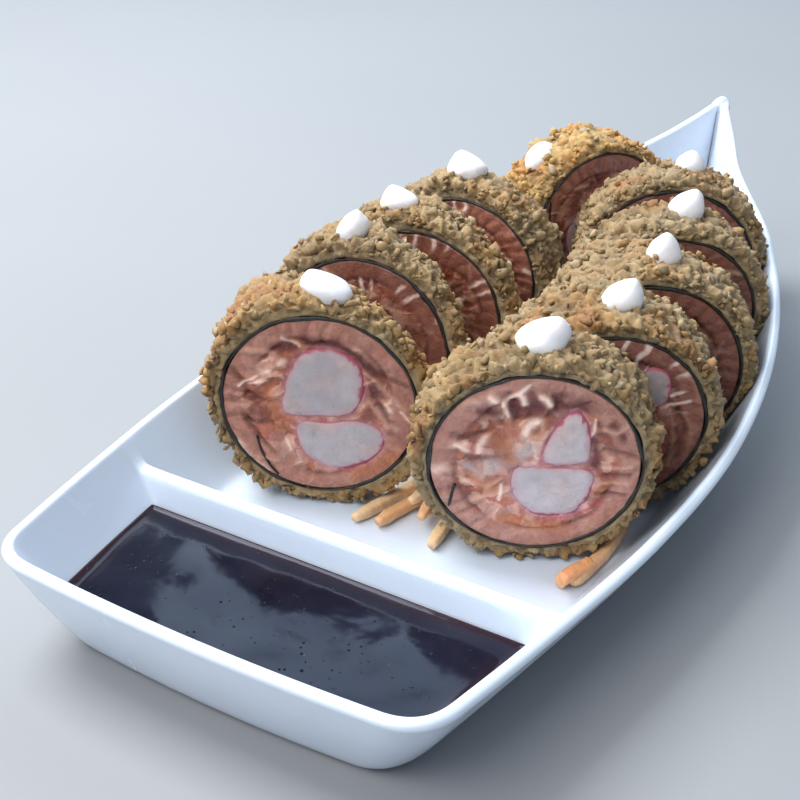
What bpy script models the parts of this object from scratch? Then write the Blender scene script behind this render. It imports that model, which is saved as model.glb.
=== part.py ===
"""Fried sushi roll: ten breaded slices on a leaf-shaped plate with a sauce well.

Metres, +Z up. The origin is the middle of the footprint on the table, and +Y runs along the
plate to its pointed tip. A slice's own frame has its origin at the middle of its front cut,
local -Y out of that cut and local +Z up.
"""
import math
import random

import bmesh
import bpy
from mathutils import Matrix, Vector, noise

GAP = 0.0003                    # air between pieces that touch
MM = 0.001

# Plate
PLATE_LENGTH = 0.2594
PLATE_WALL = 0.0026
FRONT_BOW = 0.0021              # the front edge swells forward by this much at its middle
CORNER_REACH = 0.009            # length of the rounding at the two front corners
RIM_HEIGHT = 0.0208             # of the front rim above the table
TIP_LIFT = 0.0297               # how much higher the rim is at the tip
LIFT_START = 0.25               # share of the length where the rim starts to rise
TIP_RADIUS = 0.003
TIP_CURL = 0.0020               # the rim's last stretch curls up by this much more
CURL_START = 0.94               # share of the length where that starts
SIDE_STEPS = 17                 # corners of the outline along one side
TIP_ANGLES = (35, 65, 90)       # and round the tip (degrees)
RIM_BEVEL = 0.0008
RIM_ANGLE = 50                  # edges sharper than this are bevelled (degrees)
# share of the side's length, half of the plate's width at the rim
HALF_WIDTHS = [(0.0, 0.0484), (0.12, 0.0536), (0.28, 0.0589), (0.45, 0.0600), (0.62, 0.0531),
               (0.78, 0.0373), (0.90, 0.0168), (0.96, 0.0090), (1.0, TIP_RADIUS)]
BASE_WIDTH = 0.74               # of the base, as a share of the rim's width
FRONT_INSET = 0.009             # the base starts this far behind the front rim
TIP_INSET = 0.010               # and ends this far before the tip
FLOOR_LIFT = 0.016              # how much the floor rises towards the tip
FLOOR_LIFT_START = 0.60
SPINE_MARGIN = 0.030            # the floor's middle line stays this far inside the base's ends
SIDE_LENGTH = PLATE_LENGTH - FRONT_BOW - TIP_RADIUS
CORNER_Y = -PLATE_LENGTH / 2 + FRONT_BOW
# wall and floor rows: share of the way in (1 at the base's edge, 2 at the middle), share down
WALL_ROWS = [(0.0, 0.0), (0.33, 0.40), (0.68, 0.76), (0.90, 0.94), (1.07, 1.0), (1.5, 1.0), (2.0, 1.0)]
RIM_OVERSHOOT = -0.03           # a space cut for the plate reaches this share above its rim

# Divider between the sauce well and the slices
DIVIDER_Y = -0.0810
DIVIDER_TOP = 0.0154
DIVIDER_TOP_THICKNESS = 0.0030
DIVIDER_BOTTOM_THICKNESS = 0.0070
DIVIDER_BOTTOM = 0.0012
SAUCE_LEVEL = 0.0090

# Slices
ROUND_STEPS = 24
CRUST_RADIUS = 0.0246           # middle of the crags
CRAG_DEPTH = 0.0006
CRAG_SIZE = 0.006
NORI_RADIUS = 0.0213
NORI_THICKNESS = 0.0008
FLAKE_DEPTH = 0.0005
FLAKE_SIZE = 0.005
OVAL = 1.02                     # a slice is this much wider than its mean, and as much lower
SEAT_DEPTH = 0.0013             # the topping sits this deep in the crust
CRUST_ROWS = (0.0, 0.33, 0.67, 1.0)
OVERSHOOT = 0.002               # how far a space cut through a filling reaches past it
SAUCE_GAP = 1.2 * GAP           # wider gaps where a flat face meets a faceted one
TAIL_GAP = 1.3 * GAP
KANI_GAP = 1.7 * GAP

# name: x, distance from the plate's front corners, lift off the floor where the walls close in
# (all mm), lean back and turn to the right (degrees), thickness in the middle (mm), size against
# the mean slice, loss of thickness for each mm to the right, extra crust at the upper left (mm)
SLICES = {
    "L1": (-21.2, 72.2, 0.0, 1, 23, 13.5, 1.0, 0.45, 2.0),
    "L2": (-29.4, 102.6, 0.0, 2.5, 8, 12.5, 1.0, 0.34, 2.6),
    "L3": (-27.3, 124.5, 0.6, 0, 6, 12.5, 1.0, 0.26, 3.0),
    "L4": (-27.1, 146.2, 4.4, 1, 1, 13.5, 0.94, 0.0, 3.0),
    "L5": (-8.2, 190.0, 4.2, 0, 60, 17, 0.96, 0.0, 0.0),
    "R1": (29.0, 75.9, 0.0, -3.6, 27.5, 16, 1.0, 0.0, 0.0),
    "R2": (33.7, 99.7, 0.0, -3.6, 32, 20.5, 1.0, 0.0, 0.0),
    "R3": (31.5, 127.5, 0.0, 0, 28, 20.5, 1.0, 0.0, 0.0),
    "R4": (26.3, 153.0, 2.4, -3, 33, 16, 0.98, 0.0, 0.0),
    "R5": (17.0, 177.5, 3.4, 0, 27, 16.5, 0.96, 0.0, 0.0),
}
SWELL_ANGLE = 132               # where the extra crust is thickest (degrees from +X to +Z)
SWELL_REACH = 72                # how far it spreads both ways from there (degrees)

# The sheet's free end lies inside the ring: angle where it leaves, angle and radius where it
# ends (degrees from local +X towards +Z, share of the ring's radius)
TAILS = {
    "L1": (244, 213, 0.80), "R1": (214, 200, 0.83), "R2": (236, 206, 0.82),
    "L2": (228, 198, 0.82), "L3": (240, 212, 0.80), "L4": (222, 196, 0.83),
    "L5": (150, 178, 0.80), "R3": (230, 200, 0.81), "R4": (238, 210, 0.82), "R5": (226, 200, 0.80),
}
TAIL_STEPS = 3
# how far before and after the place where the free end leaves the ring goes on (degrees)
ROOT_BEFORE = 2.5
ROOT_AFTER = 3
ROOT_CLEAR = 5                  # ring corners closer to it than this are left out

# Crab sticks, as outlines of the cut (mm in the slice's own X and Z)
KANI = {
    "L1": {
        "upper": [(-7.5, -2.0), (-6.8, 6.0), (-3.5, 12.4), (3.0, 14.0), (8.6, 10.5), (9.4, 3.5),
                  (6.5, -1.2), (0.0, -2.4)],
        "lower": [(-4.4, -4.6), (2.0, -4.0), (8.0, -3.0), (13.4, -5.0), (13.6, -9.5),
                  (9.0, -13.8), (2.0, -15.2), (-3.6, -11.5)],
    },
    "R1": {
        "upper": [(1.8, 1.0), (3.0, 8.0), (6.5, 13.4), (9.6, 11.0), (10.6, 4.5), (9.5, 1.0)],
        "lower": [(-3.8, -1.2), (3.0, -0.6), (11.0, -1.0), (11.4, -6.0), (8.5, -11.6),
                  (1.0, -12.6), (-3.9, -8.0)],
    },
    "R2": {
        "upper": [(4.8, 4.8), (5.6, 11.0), (9.0, 13.8), (12.4, 11.8), (12.8, 6.5), (9.5, 3.8)],
        "lower": [(-9.0, -1.5), (-2.0, -1.0), (5.5, 0.5), (6.5, -5.0), (2.0, -11.0),
                  (-6.0, -12.0), (-10.0, -7.0)],
    },
}
# In the slices behind, the crab sticks show as one piece low on the left of the cut
KANI_BEHIND = [(-11.0, -4.0), (-10.0, 3.0), (-4.0, 5.0), (1.0, 3.5), (4.5, -1.5), (4.0, -8.0),
               (-1.0, -12.3), (-7.0, -11.3)]

# Piped toppings: local x and distance behind the front cut, radius, height, pull of the point to
# the right (mm), width against the radius
DOTS = {
    "L1": (1.2, 5.6, 4.4, 6.2, -3.6, 1.25), "L2": (-5.5, 5.2, 3.8, 7.0, 1.0, 1.0),
    "L3": (-8.0, 5.8, 4.0, 5.8, -2.0, 1.15), "L4": (-4.0, 8.5, 4.5, 7.0, -2.0, 1.15),
    "L5": (-14.0, 11.2, 3.8, 4.6, 1.5, 1.0), "R1": (-0.2, 8.5, 4.8, 6.9, 3.2, 1.1),
    "R2": (2.5, 10.2, 4.3, 6.8, 2.5, 1.0), "R3": (2.8, 10.5, 3.8, 7.2, 0.3, 1.0),
    "R4": (4.0, 10.8, 4.3, 7.0, 1.8, 1.0), "R5": (3.8, 11.6, 4.0, 5.8, 0.3, 1.0),
}
# share of the radius, share of the height
DOT_PROFILE = [(0.0, 0.0), (0.80, 0.0), (0.98, 0.22), (0.94, 0.44), (0.70, 0.67), (0.34, 0.88),
               (0.0, 1.0)]
DOT_STEPS = 10

# Carrot shreds: x and distance from the plate's front corners at both ends, height of the middle
# above the floor (all mm)
STRIP_WIDTH = 0.0026
STRIP_SEGMENTS = 4
STRIP_BEND = 0.0018
STRIP_TWIST = 8.0               # most twist from end to end (degrees)
MIDDLE_SHREDS = [
    (-10.0, 69.0, -3.0, 112.0, 1.6), (-4.6, 70.0, 5.0, 104.0, 1.9), (9.5, 69.0, 0.0, 114.0, 1.6),
    (4.0, 74.0, -6.0, 121.0, 4.0), (-1.0, 78.0, 6.0, 126.0, 4.2), (3.0, 105.0, -7.0, 150.0, 1.7),
    (-4.0, 108.0, 4.0, 156.0, 1.9), (2.0, 112.0, -2.0, 158.0, 4.0), (-8.0, 138.0, -3.0, 172.0, 2.0),
    (3.0, 136.0, -7.0, 170.0, 2.3),
]
RIGHT_SHREDS = [
    (41.0, 72.5, 41.3, 97.5, 2.1), (38.4, 71.0, 40.4, 79.0, 1.8), (39.8, 69.0, 42.2, 78.0, 4.3),
]
CARROT_SEED = 4

# colour, roughness, metallic
FINISHES = {
    "plate": ((0.86, 0.90, 0.94), 0.16, 0.0),
    "sauce": ((0.018, 0.012, 0.016), 0.08, 0.0),
    "crust": ((0.40, 0.25, 0.10), 0.85, 0.0),
    "nori": ((0.020, 0.018, 0.018), 0.45, 0.0),
    "filling": ((0.42, 0.19, 0.16), 0.5, 0.0),
    "kani": ((0.62, 0.52, 0.55), 0.4, 0.0),
    "dot": ((0.88, 0.86, 0.86), 0.35, 0.0),
    "carrots": ((0.72, 0.24, 0.03), 0.45, 0.0),
}


def clear_scene():
    """Empties the scene and returns one collection for the parts and one for the cutters."""
    for obj in list(bpy.data.objects):
        bpy.data.objects.remove(obj, do_unlink=True)
    collections = []
    for name in ("Fried sushi roll", "Cutters"):
        collection = bpy.data.collections.new(name)
        bpy.context.scene.collection.children.link(collection)
        collections.append(collection)
    return collections


PARTS, CUTTERS = clear_scene()


def finish(name):
    """The Principled material of one kind of piece."""
    material = bpy.data.materials.get(name)
    if material is None:
        colour, roughness, metallic = FINISHES[name]
        material = bpy.data.materials.new(name)
        material.use_nodes = True
        shader = material.node_tree.nodes["Principled BSDF"]
        shader.inputs["Base Color"].default_value = (*colour, 1.0)
        shader.inputs["Roughness"].default_value = roughness
        shader.inputs["Metallic"].default_value = metallic
    return material


def add_part(name, mesh, kind, parent=None):
    obj = bpy.data.objects.new(name, mesh)
    mesh.name = name
    mesh.materials.clear()
    mesh.materials.append(finish(kind))
    PARTS.objects.link(obj)
    obj.parent = parent
    return obj


def add_cutter(name, mesh, parent=None):
    obj = bpy.data.objects.new(name, mesh)
    CUTTERS.objects.link(obj)
    obj.parent = parent
    obj.hide_render = True
    obj.display_type = "WIRE"
    return obj


def boolean(obj, other, operation):
    modifier = obj.modifiers.new(operation.title(), "BOOLEAN")
    modifier.operation = operation
    modifier.solver = "EXACT"
    modifier.object = other


def evaluated_mesh(obj):
    """A clean closed mesh of an object as its modifiers leave it. The object is removed."""
    bpy.context.view_layer.update()
    graph = bpy.context.evaluated_depsgraph_get()
    mesh = bpy.data.meshes.new_from_object(obj.evaluated_get(graph))
    bpy.data.objects.remove(obj, do_unlink=True)
    shape = bmesh.new()
    shape.from_mesh(mesh)
    bmesh.ops.remove_doubles(shape, verts=shape.verts, dist=0.00001)
    bmesh.ops.recalc_face_normals(shape, faces=shape.faces)
    shape.to_mesh(mesh)
    shape.free()
    return mesh


def turned(profile, closed, steps=ROUND_STEPS):
    """Turns (radius, along) points about local Y, with a Screw modifier."""
    mesh = bpy.data.meshes.new("profile")
    edges = [(i, i + 1) for i in range(len(profile) - 1)]
    if closed:
        edges.append((len(profile) - 1, 0))
    mesh.from_pydata([(radius, along, 0.0) for radius, along in profile], edges, [])
    obj = bpy.data.objects.new("profile", mesh)
    bpy.context.scene.collection.objects.link(obj)
    screw = obj.modifiers.new("Screw", "SCREW")
    screw.axis = "Y"
    screw.steps = steps
    screw.render_steps = steps
    screw.use_merge_vertices = True
    screw.merge_threshold = 0.00001
    return evaluated_mesh(obj)


def prism(loops, depth, start=0.0):
    """Extrudes flat outlines, given in local X and Z, along local +Y. Inner loops are holes."""
    curve = bpy.data.curves.new("outline", "CURVE")
    curve.dimensions = "2D"
    curve.fill_mode = "BOTH"
    curve.extrude = depth / 2
    for loop in loops:
        spline = curve.splines.new("POLY")
        spline.points.add(len(loop) - 1)
        for point, (x, z) in zip(spline.points, loop):
            point.co = (x, z, 0.0, 1.0)
        spline.use_cyclic_u = True
    obj = bpy.data.objects.new("outline", curve)
    bpy.context.scene.collection.objects.link(obj)
    mesh = evaluated_mesh(obj)
    bpy.data.curves.remove(curve)
    upright = Matrix.Rotation(math.radians(90), 4, "X")
    mesh.transform(Matrix.Translation((0.0, start + depth / 2, 0.0)) @ upright)
    return mesh


def smooth_through(points, at):
    """A smooth curve through (position, value) points, read at one position."""
    count = len(points)

    def slope(i):
        a = points[max(i - 1, 0)]
        b = points[min(i + 1, count - 1)]
        return (b[1] - a[1]) / (b[0] - a[0])

    i = 0
    while i < count - 2 and at > points[i + 1][0]:
        i += 1
    (x0, y0), (x1, y1) = points[i], points[i + 1]
    span = x1 - x0
    t = (at - x0) / span
    start = (2 * t ** 3 - 3 * t ** 2 + 1) * y0 + (t ** 3 - 2 * t ** 2 + t) * span * slope(i)
    end = (3 * t ** 2 - 2 * t ** 3) * y1 + (t ** 3 - t ** 2) * span * slope(i + 1)
    return start + end


def rise(y, lift, start):
    """How much a line of the plate has risen at y: none up to its start, then more and more."""
    share = (y - CORNER_Y) / SIDE_LENGTH
    return lift * max(0.0, (share - start) / (1 - start)) ** 2


def rim_height(y):
    return RIM_HEIGHT + rise(y, TIP_LIFT, LIFT_START) + rise(y, TIP_CURL, CURL_START)


def floor_height(y):
    """Height of the plate's underside above the table."""
    return rise(y, FLOOR_LIFT, FLOOR_LIFT_START)


def right_half_outline():
    """The rim's outer edge in plan, from the middle of the front round to the tip."""
    half = HALF_WIDTHS[0][1]

    def front(x):
        return (x, CORNER_Y - FRONT_BOW * (1 - (x / half) ** 2))

    points = [front((half - CORNER_REACH) * i / 4) for i in range(5)]
    corner_start = Vector(points[-1])
    corner = Vector((half, CORNER_Y))
    first_share = CORNER_REACH / SIDE_LENGTH
    corner_end = Vector((smooth_through(HALF_WIDTHS, first_share), CORNER_Y + CORNER_REACH))
    for t in (0.25, 0.5, 0.75):
        point = (1 - t) ** 2 * corner_start + 2 * t * (1 - t) * corner + t ** 2 * corner_end
        points.append(tuple(point))
    for i in range(SIDE_STEPS + 1):
        share = first_share + (1 - first_share) * i / SIDE_STEPS
        points.append((smooth_through(HALF_WIDTHS, share), CORNER_Y + SIDE_LENGTH * share))
    for angle in TIP_ANGLES:
        turn = math.radians(angle)
        tip = CORNER_Y + SIDE_LENGTH + TIP_RADIUS * math.sin(turn)
        points.append((TIP_RADIUS * math.cos(turn), tip))
    points[-1] = (0.0, points[-1][1])
    return points


def rim_outline():
    right = right_half_outline()
    return right + [(-x, y) for x, y in reversed(right[1:-1])]


def plate_point(x, y, inward, down):
    """A point of the plate's underside, by its share of the way in and down from the rim."""
    base_start = -PLATE_LENGTH / 2 + FRONT_INSET
    base_length = PLATE_LENGTH - FRONT_INSET - TIP_INSET
    base_y = base_start + (y + PLATE_LENGTH / 2) / PLATE_LENGTH * base_length
    rim = Vector((x, y))
    base = Vector((x * BASE_WIDTH, base_y))
    spine_y = min(max(base_y, base_start + SPINE_MARGIN), base_start + base_length - SPINE_MARGIN / 3)
    plan = rim.lerp(base, inward) if inward <= 1 else base.lerp(Vector((0.0, spine_y)), inward - 1)
    height = rim_height(y) + (floor_height(plan.y) - rim_height(y)) * down
    return (plan.x, plan.y, height)


def leaf_surface(lift=0.0, first_row=WALL_ROWS[0]):
    """The plate's underside as an open surface that faces up, moved by lift along its normals."""
    outline = rim_outline()
    shape = bmesh.new()
    rows = []
    for inward, down in [first_row] + WALL_ROWS[1:]:
        rows.append([shape.verts.new(plate_point(x, y, inward, down)) for x, y in outline])
    count = len(outline)
    for upper, lower in zip(rows, rows[1:]):
        for i in range(count):
            j = (i + 1) % count
            shape.faces.new((upper[i], upper[j], lower[j], lower[i]))
    bmesh.ops.remove_doubles(shape, verts=shape.verts, dist=0.00001)
    shape.normal_update()
    if lift:
        moves = [(vert, vert.normal.copy()) for vert in shape.verts]
        for vert, normal in moves:
            vert.co += normal * lift
    return shape


def to_mesh(shape, name):
    mesh = bpy.data.meshes.new(name)
    shape.to_mesh(mesh)
    shape.free()
    return mesh


def block(corners, name):
    """A cube primitive whose eight corners are set by a function of their signs."""
    shape = bmesh.new()
    bmesh.ops.create_cube(shape, size=2.0)
    for vert in shape.verts:
        vert.co = corners(*(round(c) for c in vert.co))
    bmesh.ops.recalc_face_normals(shape, faces=shape.faces)
    return to_mesh(shape, name)


def wall_half_width(y, height, inset):
    """Half of the plate's width at one height, measured to inset inside its outer face."""
    share = (y - CORNER_Y) / SIDE_LENGTH
    half = smooth_through(HALF_WIDTHS, share)
    down = (rim_height(y) - height) / rim_height(y)
    return half * (1 - (1 - BASE_WIDTH) * down) - inset


def divider_mesh():
    """The low ridge across the plate, ending inside the plate's wall on both sides."""

    def corner(sx, sy, sz):
        height = DIVIDER_TOP if sz > 0 else DIVIDER_BOTTOM
        thickness = DIVIDER_TOP_THICKNESS if sz > 0 else DIVIDER_BOTTOM_THICKNESS
        x = sx * wall_half_width(DIVIDER_Y, height, PLATE_WALL / 2)
        return (x, DIVIDER_Y + sy * thickness / 2, height)

    return block(corner, "divider")


def build_plate():
    plate = add_part("plate", to_mesh(leaf_surface(), "plate"), "plate")
    shell = plate.modifiers.new("Wall", "SOLIDIFY")
    shell.thickness = PLATE_WALL
    shell.offset = 1.0
    rim = plate.modifiers.new("Rim", "BEVEL")
    rim.width = RIM_BEVEL
    rim.segments = 2
    rim.limit_method = "ANGLE"
    rim.angle_limit = math.radians(RIM_ANGLE)
    boolean(plate, add_cutter("divider", divider_mesh()), "UNION")


def plate_space():
    """A cutter a little thicker and higher than the plate, for crusts pressed against its wall."""
    surface = to_mesh(leaf_surface(first_row=(RIM_OVERSHOOT, RIM_OVERSHOOT)), "plate_space")
    space = add_cutter("plate_space", surface)
    shell = space.modifiers.new("Wall", "SOLIDIFY")
    shell.thickness = PLATE_WALL + GAP
    shell.offset = 1.0
    return space


def build_sauce():
    """Fills the well in front of the divider up to the sauce's level."""
    well = leaf_surface(PLATE_WALL + GAP)
    edges = [edge for edge in well.edges if edge.is_boundary]
    bmesh.ops.triangle_fill(well, use_beauty=True, edges=edges)
    bmesh.ops.recalc_face_normals(well, faces=well.faces)
    sauce = add_part("sauce", to_mesh(well, "sauce"), "sauce")
    slope = (DIVIDER_BOTTOM_THICKNESS - DIVIDER_TOP_THICKNESS) / 2 / (DIVIDER_TOP - DIVIDER_BOTTOM)

    def corner(sx, sy, sz):
        height = SAUCE_LEVEL if sz > 0 else 0.0
        divider_face = DIVIDER_Y - DIVIDER_TOP_THICKNESS / 2 - slope * (DIVIDER_TOP - height)
        y = divider_face - SAUCE_GAP if sy > 0 else -PLATE_LENGTH
        return (sx * PLATE_LENGTH, y, height)

    boolean(sauce, add_cutter("sauce_space", block(corner, "sauce_space")), "INTERSECT")


def oval(mesh, size):
    mesh.transform(Matrix.Diagonal((size * OVAL, 1.0, size / OVAL, 1.0)))


def roughen(mesh, size, depth, moves, seed):
    """Moves vertices in and out by smooth noise. moves gives a vertex's direction, or None."""
    shift = Vector((seed * 3.7, seed * 1.3, seed * 2.1))
    for vert in mesh.vertices:
        direction = moves(vert.co)
        if direction is not None:
            amount = noise.noise(vert.co / size + shift) * 2
            vert.co += direction * depth * max(-1.0, min(1.0, amount))


def fanned(mesh, depth, fan):
    """Leans the back of a slice's piece, so that the slice gets thinner to the right."""
    for vert in mesh.vertices:
        vert.co.y *= 1 - fan * vert.co.x / depth


def swelling(angle, swell):
    """Extra radius of the crust at an angle round the slice (radians)."""
    away = abs((SWELL_ANGLE - math.degrees(angle) + 180) % 360 - 180)
    return swell * math.cos(math.pi / 2 * min(away / SWELL_REACH, 1.0)) ** 2


def build_crust(name, seed, frame, wall):
    depth, size, fan, swell = slice_form(name)
    inner = NORI_RADIUS + GAP
    outer = CRUST_RADIUS
    profile = [(inner, 0.0)] + [(outer, depth * row) for row in CRUST_ROWS] + [(inner, depth)]
    mesh = turned(profile, closed=True)

    def outward(place):
        away = Vector((place.x, 0.0, place.z))
        if away.length < (inner + outer) / 2:
            return None
        return away.normalized()

    roughen(mesh, CRAG_SIZE, CRAG_DEPTH, outward, seed)
    for vert in mesh.vertices:
        direction = outward(vert.co)
        if direction is not None:
            vert.co += direction * swelling(math.atan2(vert.co.z, vert.co.x), swell)
    oval(mesh, size)
    fanned(mesh, depth, fan)
    for vert in mesh.vertices:
        vert.co.z = max(vert.co.z, -CRUST_RADIUS * size / OVAL)
    crust = add_part(f"crust_{name}", mesh, "crust", frame)
    dot_x, dot_y, radius, _, _, wide = DOTS[name]
    dot_x, dot_y, radius = dot_x * MM, dot_y * MM, radius * MM
    seat, slope = seat_height(name, dot_x)

    def corner(sx, sy, sz):
        across = sx * (radius * wide + 2 * GAP)
        height = slope * across if sz < 0 else 10 * SEAT_DEPTH
        return (dot_x + across, dot_y + sy * (radius + 2 * GAP), seat + height)

    boolean(crust, add_cutter(f"seat_{name}", block(corner, f"seat_{name}"), frame), "DIFFERENCE")
    boolean(crust, wall, "DIFFERENCE")


def seat_height(name, x):
    """Height and slope of the seat under a topping at local x."""
    _, size, _, swell = slice_form(name)
    radius = CRUST_RADIUS + swelling(math.acos(x / (CRUST_RADIUS * size * OVAL)), swell)
    wide, high = radius * size * OVAL, radius * size / OVAL
    share = math.sqrt(1 - (x / wide) ** 2)
    return high * share - SEAT_DEPTH, -high * x / (wide ** 2 * share)


def on_ring(angle, radius):
    turn = math.radians(angle)
    return (radius * math.cos(turn), radius * math.sin(turn))


def tail_arc(name, inset):
    """Points of the sheet's free end from where it ends to where it leaves the ring."""
    leaves, ends, share = TAILS[name]
    inner = NORI_RADIUS - NORI_THICKNESS
    points = []
    for i in range(TAIL_STEPS + 1):
        part = i / TAIL_STEPS
        angle = ends + (leaves - ends) * part
        radius = inner * share + (inner - inner * share) * part
        points.append(on_ring(angle, radius - inset))
    return points


def ring_angles():
    return [360 * i / ROUND_STEPS for i in range(ROUND_STEPS)]


def nori_inner_loop(name):
    """The inner edge of the sheet: round the ring, then out and back along the free end."""
    leaves, ends, _ = TAILS[name]
    inner = NORI_RADIUS - NORI_THICKNESS
    turning = 1 if leaves > ends else -1
    root = leaves - turning * ROOT_BEFORE
    around = sorted(((angle - leaves) * turning) % 360 for angle in ring_angles())
    steps = [ROOT_AFTER] + [step for step in around if ROOT_CLEAR < step < 360 - ROOT_CLEAR]
    ring = [on_ring(leaves + turning * step, inner) for step in steps]
    outside = list(reversed(tail_arc(name, 0.0)))[1:]
    inside = tail_arc(name, NORI_THICKNESS)
    return ring + [on_ring(root, inner)] + outside + inside


def build_nori(name, frame):
    depth, size, fan, _ = slice_form(name)
    outer = [on_ring(angle, NORI_RADIUS) for angle in ring_angles()]
    mesh = prism([outer, nori_inner_loop(name)], depth)
    oval(mesh, size)
    fanned(mesh, depth, fan)
    add_part(f"nori_{name}", mesh, "nori", frame)


def outline_points(outline, grow=0.0):
    """An outline in metres, each corner moved away from its middle by grow."""
    points = [Vector(point) * MM for point in outline]
    middle = sum(points, Vector((0.0, 0.0))) / len(points)
    return [tuple(point + (point - middle).normalized() * grow) for point in points]


def filling_space(name, label, outline, filling, frame):
    """Cuts an outline right through a filling."""
    depth, size, fan, _ = slice_form(name)
    space = prism([outline], depth + 2 * OVERSHOOT, -OVERSHOOT)
    oval(space, size)
    fanned(space, depth, fan)
    boolean(filling, add_cutter(f"{label}_{name}", space, frame), "DIFFERENCE")


def build_filling(name, seed, frame, sticks):
    depth, size, fan, _ = slice_form(name)
    inner = NORI_RADIUS - NORI_THICKNESS - GAP
    profile = [(0.0, 0.0), (inner * 0.4, 0.0), (inner * 0.75, 0.0), (inner, 0.0), (inner, depth),
               (0.0, depth)]
    mesh = turned(profile, closed=False)

    def out_of_cut(place):
        inside = math.hypot(place.x, place.z) < inner * 0.9
        return Vector((0.0, -1.0, 0.0)) if inside and place.y < depth / 2 else None

    roughen(mesh, FLAKE_SIZE, FLAKE_DEPTH, out_of_cut, seed + 20)
    oval(mesh, size)
    fanned(mesh, depth, fan)
    filling = add_part(f"filling_{name}", mesh, "filling", frame)
    leaves, ends, share = TAILS[name]
    turning = 1 if leaves > ends else -1
    behind = ends - turning * ROOT_BEFORE
    tail = tail_arc(name, NORI_THICKNESS + TAIL_GAP)
    tail += [on_ring(leaves + turning * ROOT_CLEAR, NORI_RADIUS),
             on_ring((leaves + ends) / 2, NORI_RADIUS * 1.2), on_ring(behind, NORI_RADIUS),
             on_ring(behind, NORI_RADIUS * share - NORI_THICKNESS)]
    filling_space(name, "tail_space", tail, filling, frame)
    for stick, outline in sticks.items():
        mesh = prism([outline_points(outline)], depth)
        oval(mesh, size)
        fanned(mesh, depth, fan)
        add_part(f"kani_{name}_{stick}", mesh, "kani", frame)
        filling_space(name, f"kani_space_{stick}", outline_points(outline, KANI_GAP), filling, frame)


def build_dot(name, frame):
    """A piped pointed drop on its sloping seat, its point pulled to one side."""
    x, y, radius, height, pull = (value * MM for value in DOTS[name][:5])
    wide = DOTS[name][5]
    seat, slope = seat_height(name, x)
    mesh = turned([(r * radius, -h * height) for r, h in DOT_PROFILE], False, DOT_STEPS)
    mesh.transform(Matrix.Rotation(math.radians(-90), 4, "X"))
    for vert in mesh.vertices:
        part = vert.co.z / height
        vert.co.x *= wide
        vert.co.z += slope * vert.co.x * (1 - part)
        vert.co.x += pull * part ** 2
    mesh.transform(Matrix.Translation((x, y, seat + GAP * math.hypot(1.0, slope))))
    dot = add_part(f"dot_{name}", mesh, "dot", frame)
    for face in dot.data.polygons:
        face.use_smooth = True


def slice_form(name):
    """Depth and size of a slice, how it thins out to the right, and its extra crust."""
    _, _, _, _, _, depth, size, fan, swell = SLICES[name]
    return depth * MM, size, fan, swell * MM


def build_slice(name, seed, wall):
    x, along, lift, lean, turn = SLICES[name][:5]
    depth, size, _, _ = slice_form(name)
    lean = math.radians(lean)
    turn = math.radians(turn)
    front_y = CORNER_Y + along * MM
    back_y = front_y + depth * math.cos(turn)
    height = (floor_height(back_y) + PLATE_WALL + GAP + lift * MM
              + CRUST_RADIUS * size / OVAL * math.cos(lean) + depth * max(0.0, math.sin(lean)))
    frame = bpy.data.objects.new(f"slice_{name}", None)
    PARTS.objects.link(frame)
    frame.location = (x * MM, front_y, height)
    frame.rotation_euler = (-lean, 0.0, turn)
    build_crust(name, seed, frame, wall)
    build_nori(name, frame)
    build_filling(name, seed, frame, KANI.get(name, {"pair": KANI_BEHIND}))
    build_dot(name, frame)


def shred(x0, along0, x1, along1, height, bend, twist):
    """One square carrot strip, bent a little, as a mesh in the plate's frame."""
    start = Vector((x0 * MM, CORNER_Y + along0 * MM, 0.0))
    end = Vector((x1 * MM, CORNER_Y + along1 * MM, 0.0))
    run = end - start
    side = Vector((run.y, -run.x, 0.0)).normalized()
    shape = bmesh.new()
    bmesh.ops.create_cube(shape, size=1.0)
    long_edges = [e for e in shape.edges if abs(e.verts[0].co.y - e.verts[1].co.y) > 0.5]
    bmesh.ops.subdivide_edges(shape, edges=long_edges, cuts=STRIP_SEGMENTS - 1)
    for vert in shape.verts:
        part = vert.co.y + 0.5
        middle = start + run * part + side * bend * math.sin(math.pi * part)
        middle.z = floor_height(middle.y) + PLATE_WALL + height * MM
        turn = Matrix.Rotation(math.radians(twist * part), 2)
        across = turn @ Vector((vert.co.x, vert.co.z)) * STRIP_WIDTH
        vert.co = middle + side * across.x + Vector((0.0, 0.0, across.y))
    return to_mesh(shape, "shred")


def build_carrots(name, shreds, seed):
    """Fuses a bundle of shreds into one solid with one Boolean union."""
    draw = random.Random(seed)
    strips = []
    for row in shreds:
        bend = draw.uniform(-STRIP_BEND, STRIP_BEND)
        strips.append(shred(*row, bend, draw.uniform(-STRIP_TWIST, STRIP_TWIST)))
    group = bpy.data.collections.new(f"{name}_shreds")
    CUTTERS.children.link(group)
    for strip in strips[1:]:
        obj = bpy.data.objects.new("shred", strip)
        group.objects.link(obj)
    bundle = bpy.data.objects.new(name, strips[0])
    bpy.context.scene.collection.objects.link(bundle)
    union = bundle.modifiers.new("Union", "BOOLEAN")
    union.operation = "UNION"
    union.solver = "EXACT"
    union.operand_type = "COLLECTION"
    union.collection = group
    mesh = evaluated_mesh(bundle)
    for obj in list(group.objects):
        bpy.data.objects.remove(obj, do_unlink=True)
    add_part(name, mesh, "carrots")


def main():
    build_plate()
    build_sauce()
    wall = plate_space()
    for seed, name in enumerate(SLICES):
        build_slice(name, seed, wall)
    build_carrots("carrots_middle", MIDDLE_SHREDS, CARROT_SEED)
    build_carrots("carrots_right", RIGHT_SHREDS, CARROT_SEED + 1)


main()
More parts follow.
